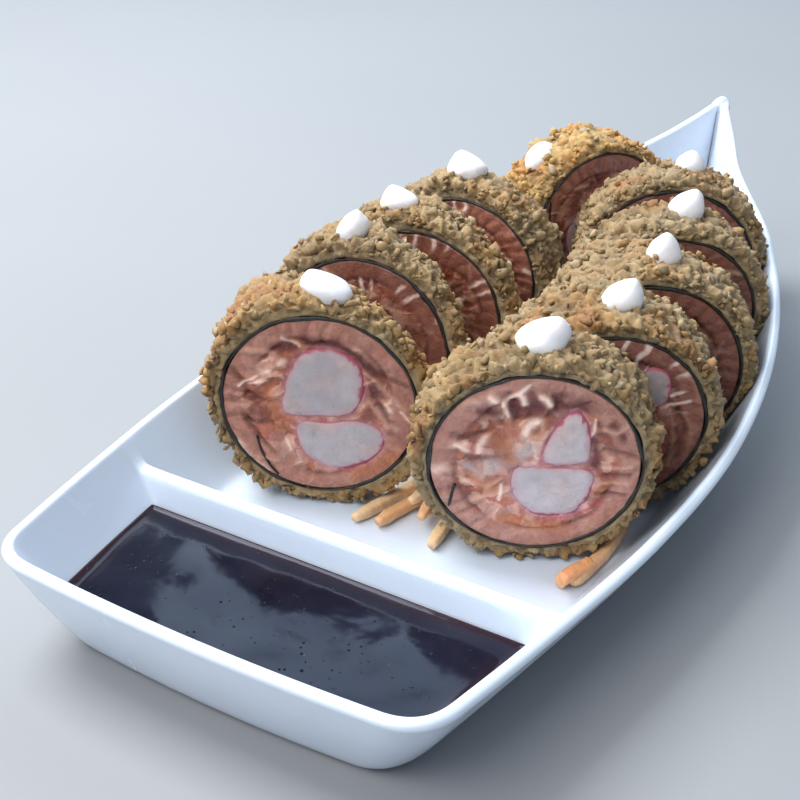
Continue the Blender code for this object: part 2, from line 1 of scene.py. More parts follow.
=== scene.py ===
"""Looks of a fried sushi roll: ten breaded slices on a leaf-shaped plate with dark sauce.

Every point is in metres in the row frame: +Z up, the origin on the table in the middle of the
footprint, +Y towards the plate's pointed tip. A slice is worked out in millimetres in its own
frame first: the origin in the middle of its front cut, local -Y out of the cut, local +Z up.
"""
import math
from itertools import product

import bmesh
import bpy
import numpy as np
from mathutils import Matrix, Vector


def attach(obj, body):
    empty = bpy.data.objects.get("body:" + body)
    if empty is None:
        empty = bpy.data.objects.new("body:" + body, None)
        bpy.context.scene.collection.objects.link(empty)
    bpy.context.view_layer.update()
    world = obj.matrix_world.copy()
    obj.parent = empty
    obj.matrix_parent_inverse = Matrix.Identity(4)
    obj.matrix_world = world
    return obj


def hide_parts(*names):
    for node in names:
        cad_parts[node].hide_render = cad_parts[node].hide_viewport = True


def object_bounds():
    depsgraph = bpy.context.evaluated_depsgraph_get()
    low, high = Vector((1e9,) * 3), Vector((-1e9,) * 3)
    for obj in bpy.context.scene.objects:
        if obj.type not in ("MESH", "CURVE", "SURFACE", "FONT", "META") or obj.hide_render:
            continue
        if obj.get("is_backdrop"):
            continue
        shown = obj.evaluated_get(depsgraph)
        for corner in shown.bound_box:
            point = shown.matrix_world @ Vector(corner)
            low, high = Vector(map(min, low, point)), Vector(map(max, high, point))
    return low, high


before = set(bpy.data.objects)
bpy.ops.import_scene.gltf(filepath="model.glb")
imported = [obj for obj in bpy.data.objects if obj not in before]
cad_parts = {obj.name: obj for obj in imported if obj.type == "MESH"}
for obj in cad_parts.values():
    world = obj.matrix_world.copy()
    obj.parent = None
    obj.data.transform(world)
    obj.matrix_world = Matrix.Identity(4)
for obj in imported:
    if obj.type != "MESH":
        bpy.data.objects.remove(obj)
CAD_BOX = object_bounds()
MM = 0.001

# The plate, as in the frame (m)
PLATE_LENGTH = 0.2594
PLATE_WALL = 0.0026
FRONT_BOW = 0.0021
CORNER_REACH = 0.009
RIM_HEIGHT = 0.0208
TIP_LIFT = 0.0297
LIFT_START = 0.25
TIP_RADIUS = 0.003
TIP_CURL = 0.0020
CURL_START = 0.94
HALF_WIDTHS = [(0.0, 0.0484), (0.12, 0.0536), (0.28, 0.0589), (0.45, 0.0600), (0.62, 0.0531),
               (0.78, 0.0373), (0.90, 0.0168), (0.96, 0.0090), (1.0, TIP_RADIUS)]
BASE_WIDTH = 0.74
FRONT_INSET = 0.009
TIP_INSET = 0.010
FLOOR_LIFT = 0.016
FLOOR_LIFT_START = 0.60
SPINE_MARGIN = 0.030
SIDE_LENGTH = PLATE_LENGTH - FRONT_BOW - TIP_RADIUS
CORNER_Y = -PLATE_LENGTH / 2 + FRONT_BOW
BASE_START = -PLATE_LENGTH / 2 + FRONT_INSET
BASE_LENGTH = PLATE_LENGTH - FRONT_INSET - TIP_INSET
WALL_ROWS = [(0.0, 0.0), (0.33, 0.40), (0.68, 0.76), (0.90, 0.94), (1.07, 1.0), (1.5, 1.0), (2.0, 1.0)]
RIM_ROUNDING = 0.0011
DIVIDER_Y = -0.0810
DIVIDER_TOP = 0.0154
DIVIDER_TOP_THICKNESS = 0.0030
DIVIDER_BOTTOM_THICKNESS = 0.0070
DIVIDER_BOTTOM = 0.0012
DIVIDER_ROUNDING = 0.0012
DIVIDER_FILLET = 0.0013
# the part of the side with the closest points, round the divider
FINE_STRETCH = (-0.0925, -0.0730)
INNER_SMOOTHING = 16
SAUCE_LEVEL = 0.0090
SAUCE_BOTTOM = 0.0034
SAUCE_EDGE_RISE = 0.0006
SAUCE_SPINE = 0.024
BUBBLES = 90

# The slices, as in the frame (mm, in the slice's own frame)
CRUST_RADIUS = 24.6
NORI_RADIUS = 21.3
NORI_THICKNESS = 0.8
OVAL = 1.02
SEAT_DEPTH = 1.3
RING = NORI_RADIUS - NORI_THICKNESS
CRUST_BORE = NORI_RADIUS + 0.2
CRUST_AROUND = 330
CRUST_STEP = 0.55
LUMP_SIZE = 4.2
GRAIN_SIZE = 1.9
RIDGE_SIZE = 2.6
CRUMBS_PER_MM = 30
# shares of the crumbs: on the cut edges, of those on the front one, and pale ones
EDGE_CRUMBS = 0.24
FRONT_CRUMBS = 0.7
PALE_CRUMBS = 0.10
FLAKE_SIZE = 2.6
SHEET_WIDTH = 4.2
RIBS = 34
# name: x, distance from the plate's front corners, lift off the floor where the walls close in
# (all mm), lean back and turn to the right (degrees), thickness in the middle (mm), size against
# the mean slice, loss of thickness for each mm to the right, extra crust at the upper left (mm)
SLICES = {
    "L1": (-21.2, 72.2, 0, 1, 23, 13.5, 1, 0.45, 2),
    "L2": (-29.4, 102.6, 0, 2.5, 8, 12.5, 1, 0.34, 2.6),
    "L3": (-27.3, 124.5, 0.6, 0, 6, 12.5, 1, 0.26, 3),
    "L4": (-27.1, 146.2, 4.4, 1, 1, 13.5, 0.94, 0, 3),
    "L5": (-8.2, 190, 4.2, 0, 60, 17, 0.96, 0, 0),
    "R1": (29, 75.9, 0, -3.6, 27.5, 16, 1, 0, 0),
    "R2": (33.7, 99.7, 0, -3.6, 32, 20.5, 1, 0, 0),
    "R3": (31.5, 127.5, 0, 0, 28, 20.5, 1, 0, 0),
    "R4": (26.3, 153, 2.4, -3, 33, 16, 0.98, 0, 0),
    "R5": (17, 177.5, 3.4, 0, 27, 16.5, 0.96, 0, 0),
}
SWELL_ANGLE = math.radians(132)
SWELL_REACH = math.radians(72)
# where the sheet's free end leaves the ring, where it ends (degrees), and its radius there
TAILS = {
    "L1": (244, 213, 0.80), "R1": (214, 200, 0.83), "R2": (236, 206, 0.82),
    "L2": (228, 198, 0.82), "L3": (240, 212, 0.80), "L4": (222, 196, 0.83),
    "L5": (150, 178, 0.80), "R3": (230, 200, 0.81), "R4": (238, 210, 0.82), "R5": (226, 200, 0.80),
}
KANI = {
    "L1": {
        "upper": [(-7.5, -2), (-6.8, 6), (-3.5, 12.4), (3, 14), (8.6, 10.5), (9.4, 3.5),
                  (6.5, -1.2), (0, -2.4)],
        "lower": [(-4.4, -4.6), (2, -4), (8, -3), (13.4, -5), (13.6, -9.5),
                  (9, -13.8), (2, -15.2), (-3.6, -11.5)],
    },
    "R1": {
        "upper": [(1.8, 1), (3, 8), (6.5, 13.4), (9.6, 11), (10.6, 4.5), (9.5, 1)],
        "lower": [(-3.8, -1.2), (3, -0.6), (11, -1), (11.4, -6), (8.5, -11.6),
                  (1, -12.6), (-3.9, -8)],
    },
    "R2": {
        "upper": [(4.8, 4.8), (5.6, 11), (9, 13.8), (12.4, 11.8), (12.8, 6.5), (9.5, 3.8)],
        "lower": [(-9, -1.5), (-2, -1), (5.5, 0.5), (6.5, -5), (2, -11),
                  (-6, -12), (-10, -7)],
    },
}
KANI_BEHIND = [(-11, -4), (-10, 3), (-4, 5), (1, 3.5), (4.5, -1.5), (4, -8),
               (-1, -12.3), (-7, -11.3)]
# piped toppings: local x and distance behind the front cut, radius, height, pull of the point to
# the right, width against the radius
DOTS = {
    "L1": (1.2, 5.6, 4.4, 6.2, -3.6, 1.25), "L2": (-5.5, 5.2, 3.8, 7, 1, 1),
    "L3": (-8, 5.8, 4, 5.8, -2, 1.15), "L4": (-4, 8.5, 4.5, 7, -2, 1.15),
    "L5": (-14, 11.2, 3.8, 4.6, 1.5, 1), "R1": (-0.2, 8.5, 4.8, 6.9, 3.2, 1.1),
    "R2": (2.5, 10.2, 4.3, 6.8, 2.5, 1), "R3": (2.8, 10.5, 3.8, 7.2, 0.3, 1),
    "R4": (4, 10.8, 4.3, 7, 1.8, 1), "R5": (3.8, 11.6, 4, 5.8, 0.3, 1),
}
DOT_PROFILE = [(0, 0), (0.82, 0), (0.95, 0.10), (1, 0.26), (0.97, 0.42), (0.85, 0.58),
               (0.64, 0.74), (0.38, 0.88), (0.16, 0.965), (0, 1)]

# Carrot shreds: x and distance from the plate's front corners at both ends, height of the middle
# above the floor (all mm)
STRIP_WIDTH = 2.6
MIDDLE_SHREDS = [
    (-10, 69, -3, 112, 1.6), (-4.6, 70, 5, 104, 1.9), (9.5, 69, 0, 114, 1.6),
    (4, 74, -6, 121, 4), (-1, 78, 6, 126, 4.2), (3, 105, -7, 150, 1.7),
    (-4, 108, 4, 156, 1.9), (2, 112, -2, 158, 4), (-8, 138, -3, 172, 2),
    (3, 136, -7, 170, 2.3),
]
RIGHT_SHREDS = [
    (41, 72.5, 41.3, 97.5, 2.1), (38.4, 71, 40.4, 79, 1.8), (39.8, 69, 42.2, 78, 4.3),
]

# Colours, linear
TAN = (0.4, 0.27, 0.125)
GOLD = (0.41, 0.24, 0.08)
RUST = (0.35, 0.16, 0.052)
OLIVE = (0.235, 0.19, 0.09)
PALE_CRUMB = (0.52, 0.39, 0.215)
CUT_CRUST = (0.34, 0.25, 0.135)
SHEET_PINK = (0.45, 0.235, 0.185)
SALMON = (0.48, 0.172, 0.112)
ORANGE_FLESH = (0.48, 0.185, 0.085)
# maroon: painted shade in the filling's grooves, troughs and hollows, and its dark seams, flakes and bands
MAROON = (0.13, 0.03, 0.028)
MAGENTA = (0.4, 0.045, 0.085)
# cream: pale flakes, and painted highlights on the filling
CREAM = (0.98, 0.74, 0.63)
BEIGE = (0.64, 0.4, 0.31)
KANI_WHITE = (0.47, 0.415, 0.42)
KANI_PINK = (0.6, 0.3, 0.33)

CARROT = (0.8, 0.36, 0.15)
PALE_CARROT = (0.88, 0.62, 0.36)

# Factors on those colours, for all slices or for one; the factors for single slices are painted light and
# shade, lit and shaded copies of the same colours
CRUST_TONE = 0.90
CRUST_LIGHT_TONES = {"L5": (1.50, 1.40, 1.12), "L1": (1.04, 0.98, 0.88)}
FACE_LIGHT_TONES = {"L1": (0.97, 0.84, 0.76), "R1": (1.08, 1.01, 0.97)}
# painted shade: the fillings behind are darker and redder
SHADE_BEHIND = {"L2": 0.60, "L3": 0.72, "L4": 0.85, "L5": 0.75, "R2": 0.70, "R3": 0.55, "R4": 0.55, "R5": 0.60}
SHADE_BEHIND_TONE = (1.12, 0.92, 0.78)
# fillings with spokes all round the rim, and those with painted highlights, cream glints, along their upper
# edge
RIBBED = ("L3", "L4", "R3", "R4")
GLINTING = ("L2", "L3", "L4", "R2")
# painted light and shade on the crab sticks: a brightness for each front slice, and a darker one for the
# slices behind
KANI_LIGHT_TONES = {"L1": 1.0, "R1": 1.15}
KANI_SHADE_BEHIND = 0.75
# where the red skin is thickest, seen from a stick's middle (radians up from local x)
SKIN_SIDE = 0.9

# Marks on the cut of a slice. MARKS: height (mm), colour and its strength for each kind; the grooves' maroon
# is painted shade, and the glinting flakes are pale flakes with painted highlights.
# STROKES: kind, half width, and its points (mm in the slice's own X and Z)
MARKS = {
    "groove": (-0.6, MAROON, 0.55), "fold": (0.55, BEIGE, 0.6), "glinting_flake": (0.5, CREAM, 0.95),
    "orange": (0.1, ORANGE_FLESH, 0.8), "rim": (-0.15, MAGENTA, 0.75), "sheet": (0.2, CREAM, 0.5),
    "dark": (-0.1, MAROON, 0.95), "pale": (0.25, KANI_WHITE, 0.85),
}
STROKES = {
    "L1": [
        ("dark", 1.5, (-9.5, 13), (-2, 15.4), (6, 14.2), (11, 9.6), (12, 5)),
        ("orange", 1.5, (-8, -2), (-9.5, -7)),
        ("groove", 0.8, (-4.5, 14.3), (3, 15.3), (6.4, 13.4), (9.5, 10.7)),
        ("rim", 0.5, (-2.5, 12.6), (4.4, 12.8), (9.2, 9.1), (9.9, 3.9)),
        ("rim", 0.5, (4.4, -15.4), (10.5, -13.2), (14.6, -8.2)),
        ("groove", 0.7, (-18.6, 7.4), (-16.6, 4), (-15.6, 1.5)),
        ("groove", 0.7, (19, 6.7), (15.4, 8.2), (11, 10.5)),
        ("groove", 0.6, (-15.6, 1.5), (-12.5, 0.6), (-10, -0.3)),
        ("groove", 0.7, (-16, -5), (-13.4, -6.2), (-10, -5.4)), ("glinting_flake", 0.7, (-12.2, 7.1), (-11, 7.6)),
        ("glinting_flake", 0.6, (-8.6, 9.3), (-7.6, 9.8)), ("orange", 2, (-11.3, 3.8), (-9, -1.8)),
        ("orange", 1.6, (8, -16.1), (13, -14), (16.7, -10.3)),
        ("fold", 0.7, (9.9, 9.2), (14, 5.8), (17.9, 0.8)), ("fold", 0.6, (11, 2), (13.1, -2), (16.6, -4.4)),
        ("glinting_flake", 0.5, (14.1, 2), (15.2, 0.1)), ("glinting_flake", 0.6, (-7.2, -9.4), (-6.2, -11.2)),
        ("groove", 0.6, (10.5, 5.5), (12.6, 2.2), (15, -2.8)), ("glinting_flake", 0.9, (-18, -10.8), (-16.3, -13.6)),
        ("glinting_flake", 0.9, (-14, -16.2), (-11.8, -17.6)),
        ("fold", 0.7, (-16.4, 12), (-12.5, 12.8), (-9.5, 11.6)),
        ("fold", 0.6, (-13.5, 3.6), (-12, 5.8), (-9, 6.8)),
    ],
    "R1": [
        ("dark", 2.3, (-9.5, 12.6), (-3, 14.6), (3, 15.2), (8.5, 14.2)),
        ("dark", 1.3, (11.4, 6), (12, 3.5), (11.6, 1)), ("dark", 1, (14.5, 10.5), (17, 7.5)),
        ("pale", 2, (-8.5, -0.5), (-4.5, 1.5), (-1.5, 3.5)), ("pale", 1.3, (-13.5, -1.5), (-11, -3)),
        ("fold", 1, (-14.7, 14.2), (-9.6, 16.1), (-7.4, 14.2)), ("glinting_flake", 0.6, (-9.6, 16.3), (-8.3, 15.2)),
        ("glinting_flake", 0.6, (-3.7, 16.9), (-2.7, 15)), ("glinting_flake", 0.6, (0.6, 16.7), (2.4, 14.8)),
        ("glinting_flake", 0.5, (-7, 14.8), (-5.9, 11.8)), ("groove", 0.8, (-6.2, 17), (-5.2, 14), (-4.4, 11)),
        ("groove", 0.7, (-1.2, 17.2), (-0.6, 14.4), (-2, 11.6)),
        ("groove", 0.7, (4, 17), (3.4, 14.5), (2, 12.4)),
        ("groove", 0.7, (-12, 12.4), (-9, 12), (-7.2, 9.4)),
        ("glinting_flake", 1, (0.1, 10.6), (-1.6, 9.2), (-2.2, 7.4)), ("glinting_flake", 0.6, (-10, 5.9), (-10.7, 2.7)),
        ("glinting_flake", 0.6, (-15.5, 4), (-13.3, 2.5)), ("groove", 0.7, (-16.4, 6.2), (-13, 5.4), (-9.4, 7.8)),
        ("groove", 0.7, (-13, 0.2), (-9, 0.6), (-5.4, 1.6)), ("orange", 2.2, (-7, 5), (-5, 1.5)),
        ("orange", 1.8, (-12, -4), (-8, -6)), ("sheet", 1.5, (-19.6, -2), (-18.4, -2)),
        ("orange", 1.5, (-5.5, -14), (0, -15.2), (5.5, -15.4)),
        ("groove", 0.9, (10.9, 6.4), (11.8, 4), (11.6, 1.4)),
        ("groove", 0.6, (20, 3.4), (17, 4.4), (14, 4.4)),
        ("fold", 0.7, (18.1, 10.1), (15.5, 8.6), (13.1, 9.3)),
        ("fold", 0.6, (12.8, -3.4), (16, -3), (19, -3.4)),
        ("fold", 0.6, (13, 0.6), (16.5, 0.3), (19.4, 0.8)),
        ("groove", 0.5, (13.2, -1.4), (16, -1.3), (19, -1.4)),
        ("groove", 0.5, (13, -6.4), (15.6, -6), (18.4, -6.8)),
        ("rim", 0.5, (1.6, -13.4), (7, -12.6), (11.4, -10.8), (13.9, -8)),
        ("rim", 0.4, (3.2, 9), (2.2, 4.5), (1.4, 1)),
    ],
    "R2": [
        ("groove", 1, (6.4, 15.6), (11, 13.6), (14, 9.6)),
        ("groove", 0.9, (11.5, 8.2), (12.4, 6.8), (13.2, 5.5)),
        ("fold", 0.7, (13.9, 14.4), (18, 10.5), (19.2, 5.6)),
        ("fold", 0.6, (16, 2), (18.6, -3), (17.9, -9.6)),
        ("fold", 0.6, (13.4, 1), (15.4, -4), (14.6, -10.6)),
        ("groove", 0.6, (14.8, 3.6), (17, -1.2), (16.4, -8.8)),
        ("groove", 1.6, (-10, 14), (-4, 16.5), (1, 17.5)),
    ],
}


# Noise on arrays of points

HASH_START = 0x9E3779B97F4A7C15
HASH_FACTORS = (0xBF58476D1CE4E5B9, 0x94D049BB133111EB, 0xD6E8FEB86659FD93)
SALT_STEP = 7919
FAR = 9.0


def number(cells, salt):
    """A steady number from 0 to 1 for each row of whole-number coordinates."""
    value = np.full(len(cells), HASH_START, dtype=np.uint64) + np.uint64(salt * SALT_STEP)
    for column, factor in zip(cells.T, HASH_FACTORS):
        value = (value ^ column.astype(np.int64).view(np.uint64)) * np.uint64(factor)
        value ^= value >> np.uint64(29)
    value = value * np.uint64(HASH_FACTORS[-1])
    value ^= value >> np.uint64(32)
    return (value >> np.uint64(11)).astype(float) / 2.0 ** 53


def noise(points, size, salt=0, octaves=1):
    """Smooth noise from about -1 to 1, its bumps about size across."""
    total = np.zeros(len(points))
    for octave in range(octaves):
        place = points / size * 2.0 ** octave
        base = np.floor(place)
        t = place - base
        t = t * t * (3 - 2 * t)
        base = base.astype(np.int64)
        value = np.zeros(len(points))
        for corner in product((0, 1), repeat=3):
            weight = np.prod(np.where(corner, t, 1 - t), axis=1)
            value += weight * number(base + np.array(corner), salt + octave)
        total += (value * 2 - 1) * 0.5 ** octave
    return total


def cells(points, size, salt=0):
    """For scattered seeds about size apart: how far the nearest one and the one after it are, in
    sizes, and the nearest one's own number."""
    place = points / size
    base = np.floor(place).astype(np.int64)
    best = np.full(len(points), FAR)
    after = np.full(len(points), FAR)
    own = np.zeros(len(points))
    for offset in product((-1, 0, 1), repeat=3):
        cell = base + np.array(offset)
        seed = cell + np.stack([number(cell, salt + axis) for axis in range(3)], axis=1)
        distance = np.linalg.norm(seed - place, axis=1)
        nearer = distance < best
        after = np.where(nearer, best, np.minimum(after, distance))
        best = np.where(nearer, distance, best)
        own = np.where(nearer, number(cell, salt + 3), own)
    return best, after, own


def ease(low, high, value):
    """A soft step from 0 at low to 1 at high."""
    t = np.clip((value - low) / (high - low), 0, 1)
    return t * t * (3 - 2 * t)


def patches(points, size, salt, low, high, octaves=1):
    """1 in patches of noise, 0 between them, with soft edges."""
    return ease(low, high, noise(points, size, salt, octaves))


def lifted(plan, value):
    """Flat points with a third coordinate, one for all or one each."""
    return np.column_stack([plan, np.full(len(plan), value)])


def blend(colours, other, share):
    return colours + (np.array(other) - colours) * np.clip(share, 0, 1)[:, None]


# Meshes and objects

def add_piece(name, node, points, faces, material, tint=None, crag=None):
    """A piece that replaces a node: points in metres in the row frame, normals made to point out."""
    mesh = bpy.data.meshes.new(name)
    mesh.from_pydata(np.asarray(points).tolist(), [], faces)
    if tint is not None:
        layer = mesh.color_attributes.new("tint", "FLOAT_COLOR", "POINT")
        layer.data.foreach_set("color", np.hstack([tint, np.ones((len(tint), 1))]).ravel())
    if crag is not None:
        layer = mesh.attributes.new("crag", "FLOAT", "POINT")
        layer.data.foreach_set("value", crag)
    shape = bmesh.new()
    shape.from_mesh(mesh)
    bmesh.ops.remove_doubles(shape, verts=shape.verts, dist=0.000002)
    bmesh.ops.recalc_face_normals(shape, faces=shape.faces)
    shape.to_mesh(mesh)
    shape.free()
    mesh.polygons.foreach_set("use_smooth", [True] * len(mesh.polygons))
    mesh.materials.append(material)
    piece = bpy.data.objects.new(name, mesh)
    bpy.context.scene.collection.objects.link(piece)
    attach(piece, "root")
    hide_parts(node)


def grid_faces(rows, columns, start=0, wrap_rows=False, wrap_columns=True):
    """Quads over points laid out row after row."""
    faces = []
    for i in range(rows if wrap_rows else rows - 1):
        for j in range(columns if wrap_columns else columns - 1):
            a, b = i * columns, (i + 1) % rows * columns
            k = (j + 1) % columns
            faces.append((start + a + j, start + a + k, start + b + k, start + b + j))
    return faces


class Batch:
    """Points, faces and point colours of many small solids for one mesh."""

    def __init__(self):
        self.points, self.faces, self.tints, self.crags, self.count = [], [], [], [], 0

    def add(self, points, faces, tint, crag):
        self.faces += [tuple(self.count + i for i in face) for face in faces]
        self.points.append(points)
        self.tints.append(np.broadcast_to(tint, (len(points), 3)))
        self.crags.append(np.broadcast_to(crag, len(points)))
        self.count += len(points)

    def arrays(self):
        return np.vstack(self.points), self.faces, np.vstack(self.tints), np.concatenate(self.crags)


# Materials

class Nodes:
    """Short calls for building a material's node tree."""

    def __init__(self, name):
        self.material = bpy.data.materials.new(name)
        self.material.use_nodes = True
        self.tree = self.material.node_tree
        self.shader = self.tree.nodes["Principled BSDF"]
        self.place = self.add("ShaderNodeTexCoord").outputs["Object"]

    def add(self, kind, **settings):
        node = self.tree.nodes.new(kind)
        for key, value in settings.items():
            setattr(node, key, value)
        return node

    def link(self, output, node, key):
        self.tree.links.new(output, node.inputs[key])

    def set(self, **values):
        for key, value in values.items():
            self.shader.inputs[key.replace("_", " ")].default_value = value

    def attribute(self, name):
        return self.add("ShaderNodeAttribute", attribute_name=name)

    def noise(self, scale, detail=3, rough=0.55, distortion=0):
        node = self.add("ShaderNodeTexNoise")
        node.inputs["Scale"].default_value = scale
        node.inputs["Detail"].default_value = detail
        node.inputs["Roughness"].default_value = rough
        node.inputs["Distortion"].default_value = distortion
        self.link(self.place, node, "Vector")
        return node.outputs["Fac"]

    def voronoi(self, scale, feature="F1"):
        node = self.add("ShaderNodeTexVoronoi", feature=feature)
        node.inputs["Scale"].default_value = scale
        self.link(self.place, node, "Vector")
        return node.outputs["Distance"]

    def ramp(self, value, stops):
        node = self.add("ShaderNodeValToRGB")
        ramp = node.color_ramp
        while len(ramp.elements) < len(stops):
            ramp.elements.new(0.5)
        for element, (position, colour) in zip(ramp.elements, stops):
            element.position = position
            if isinstance(colour, (int, float)):
                colour = (colour, colour, colour)
            element.color = (*colour, 1)
        self.link(value, node, "Fac")
        return node.outputs["Color"]

    def mix(self, factor, first, second, kind="MIX"):
        node = self.add("ShaderNodeMix", data_type="RGBA", blend_type=kind)
        # the colour inputs are the seventh and the eighth
        for key, value in ((0, factor), (6, first), (7, second)):
            if isinstance(value, bpy.types.NodeSocket):
                self.link(value, node, key)
            else:
                node.inputs[key].default_value = value if key == 0 else (*value, 1)
        return node.outputs[2]

    def bump(self, height, distance, strength, before=None):
        node = self.add("ShaderNodeBump")
        node.inputs["Distance"].default_value = distance
        node.inputs["Strength"].default_value = strength
        self.link(height, node, "Height")
        if before is not None:
            self.link(before, node, "Normal")
        return node.outputs["Normal"]

    def out(self, key, output):
        self.link(output, self.shader, key)

    def rough(self, scale, detail, stops):
        self.out("Roughness", self.ramp(self.noise(scale, detail), stops))

    def tinted(self, mottled, share):
        """The colours kept on the mesh, mottled."""
        return self.mix(share, self.attribute("tint").outputs["Color"], mottled, "MULTIPLY")

    def painted_shade_and_light(self, colour, stops):
        """Painted shade and light: the colour is multiplied by a ramp over the crag value kept on the mesh,
        darker in the crags.
        """
        deep = self.ramp(self.attribute("crag").outputs["Fac"], stops)
        return self.mix(1, colour, deep, "MULTIPLY")


def plate_material():
    m = Nodes("glazed_white")
    m.set(IOR=1.5, Subsurface_Weight=0.05, Subsurface_Scale=0.002)
    clouds = m.noise(28, 4)
    m.out("Base Color", m.ramp(clouds, [(0.3, (0.70, 0.79, 0.91)), (0.7, (0.74, 0.83, 0.95))]))
    smears = m.noise(70, 5, 0.65, 0.8)
    m.out("Roughness", m.ramp(smears, [(0.35, 0.14), (0.62, 0.24), (0.75, 0.36)]))
    ripple = m.bump(m.noise(45, 2), 0.0003, 0.35)
    m.out("Normal", m.bump(m.noise(2600, 2), 0.00001, 0.3, ripple))
    return m.material


def sauce_material():
    m = Nodes("dark_sauce")
    m.set(IOR=1.40, Specular_IOR_Level=0.22, Specular_Tint=(0.62, 0.78, 1, 1))
    body = m.ramp(m.noise(60, 4, 0.6, 0.6),
                  [(0.3, (0.005, 0.005, 0.011)), (0.7, (0.011, 0.012, 0.024))])
    specks = m.ramp(m.voronoi(420), [(0.06, 1), (0.11, 0)])
    few = m.ramp(m.noise(130, 3), [(0.58, 0), (0.66, 1)])
    speckled = m.mix(m.mix(1, specks, few, "MULTIPLY"), body, (0.10, 0.07, 0.06))
    thin = m.attribute("crag").outputs["Fac"]
    m.out("Base Color", m.mix(thin, speckled, (0.040, 0.018, 0.020)))
    m.rough(90, 4, [(0.3, 0.05), (0.7, 0.13)])
    waves = m.bump(m.noise(60, 3, 0.5, 0.3), 0.0006, 0.25)
    m.out("Normal", m.bump(specks, 0.0002, 0.5, waves))
    return m.material


def crust_material():
    m = Nodes("fried_crumb")
    m.set(IOR=1.45, Subsurface_Weight=0.12, Subsurface_Scale=0.002, Sheen_Weight=0.10)
    grain = m.ramp(m.noise(900, 4, 0.6), [(0.25, 0.76), (0.5, 1), (0.75, 1.18)])
    # painted shade in the breading's crags, painted light on its highest lumps
    m.out("Base Color", m.painted_shade_and_light(m.tinted(grain, 0.8), [(0, 0.52), (0.45, 0.92), (1, 1.18)]))
    m.rough(700, 3, [(0.35, 0.42), (0.65, 0.70)])
    m.out("Normal", m.bump(m.noise(620, 6, 0.72, 0.6), 0.0009, 0.85))
    return m.material


def nori_material():
    m = Nodes("seaweed")
    m.set(IOR=1.5)
    m.out("Base Color", m.ramp(m.noise(500, 4, 0.6),
                               [(0.3, (0.008, 0.008, 0.009)), (0.6, (0.022, 0.022, 0.018)),
                                (0.8, (0.045, 0.035, 0.028))]))
    m.rough(900, 3, [(0.3, 0.30), (0.7, 0.55)])
    m.out("Normal", m.bump(m.noise(1600, 4, 0.65), 0.0003, 0.6))
    return m.material


def filling_material():
    m = Nodes("filling_flesh")
    m.set(IOR=1.42, Subsurface_Weight=0.18, Subsurface_Scale=0.002,
          Subsurface_Radius=(1, 0.35, 0.22))
    mottled = m.ramp(m.noise(420, 5, 0.65, 0.6), [(0.28, 0.74), (0.5, 1), (0.75, 1.22)])
    # painted shade in the filling's hollows, painted light on its raised parts
    m.out("Base Color", m.painted_shade_and_light(m.tinted(mottled, 0.75), [(0, 0.42), (0.4, 0.9), (1, 1.15)]))
    m.rough(350, 4, [(0.3, 0.16), (0.7, 0.40)])
    flow = m.bump(m.noise(480, 5, 0.6, 1), 0.0009, 0.6)
    m.out("Normal", m.bump(m.noise(2200, 3), 0.0001, 0.5, flow))
    return m.material


def kani_material():
    m = Nodes("crab_stick")
    m.set(IOR=1.42, Subsurface_Weight=0.25, Subsurface_Scale=0.0025,
          Subsurface_Radius=(1, 0.6, 0.5))
    mottled = m.ramp(m.noise(380, 4, 0.6, 0.5), [(0.3, 0.88), (0.7, 1.07)])
    m.out("Base Color", m.tinted(mottled, 0.8))
    m.rough(300, 3, [(0.3, 0.30), (0.7, 0.50)])
    fibre = m.bump(m.noise(900, 4, 0.6, 1.2), 0.0004, 0.5)
    m.out("Normal", m.bump(m.voronoi(1100, "DISTANCE_TO_EDGE"), 0.0002, 0.35, fibre))
    return m.material


def dot_material():
    m = Nodes("piped_cream")
    m.set(IOR=1.45, Subsurface_Weight=0.35, Subsurface_Scale=0.002)
    clouds = m.noise(300, 3)
    m.out("Base Color", m.ramp(clouds, [(0.3, (0.80, 0.80, 0.82)), (0.7, (0.87, 0.87, 0.88))]))
    m.rough(500, 3, [(0.3, 0.32), (0.7, 0.46)])
    m.out("Normal", m.bump(m.noise(600, 3), 0.0002, 0.3))
    return m.material


def carrot_material():
    m = Nodes("carrot")
    m.set(IOR=1.42, Subsurface_Weight=0.25, Subsurface_Scale=0.0015,
          Subsurface_Radius=(1, 0.4, 0.1))
    mottled = m.ramp(m.noise(600, 4, 0.6, 1), [(0.3, 0.82), (0.7, 1.15)])
    m.out("Base Color", m.tinted(mottled, 0.8))
    m.rough(500, 3, [(0.3, 0.28), (0.7, 0.50)])
    m.out("Normal", m.bump(m.noise(1300, 4, 0.6, 0.6), 0.0003, 0.5))
    return m.material


# The plate's form

def smooth_through(points, at):
    """A smooth curve through (position, value) points, read at one position."""
    count = len(points)

    def slope(i):
        a = points[max(i - 1, 0)]
        b = points[min(i + 1, count - 1)]
        return (b[1] - a[1]) / (b[0] - a[0])

    i = 0
    while i < count - 2 and at > points[i + 1][0]:
        i += 1
    (x0, y0), (x1, y1) = points[i], points[i + 1]
    span = x1 - x0
    t = (at - x0) / span
    start = (2 * t ** 3 - 3 * t ** 2 + 1) * y0 + (t ** 3 - 2 * t ** 2 + t) * span * slope(i)
    end = (3 * t ** 2 - 2 * t ** 3) * y1 + (t ** 3 - t ** 2) * span * slope(i + 1)
    return start + end


def rise(y, lift, start):
    """Height gained towards the tip, from a share of the plate's length on."""
    share = (y - CORNER_Y) / SIDE_LENGTH
    return lift * np.maximum(0.0, (share - start) / (1 - start)) ** 2


def rim_height(y):
    return RIM_HEIGHT + rise(y, TIP_LIFT, LIFT_START) + rise(y, TIP_CURL, CURL_START)


def floor_height(y):
    return rise(y, FLOOR_LIFT, FLOOR_LIFT_START)


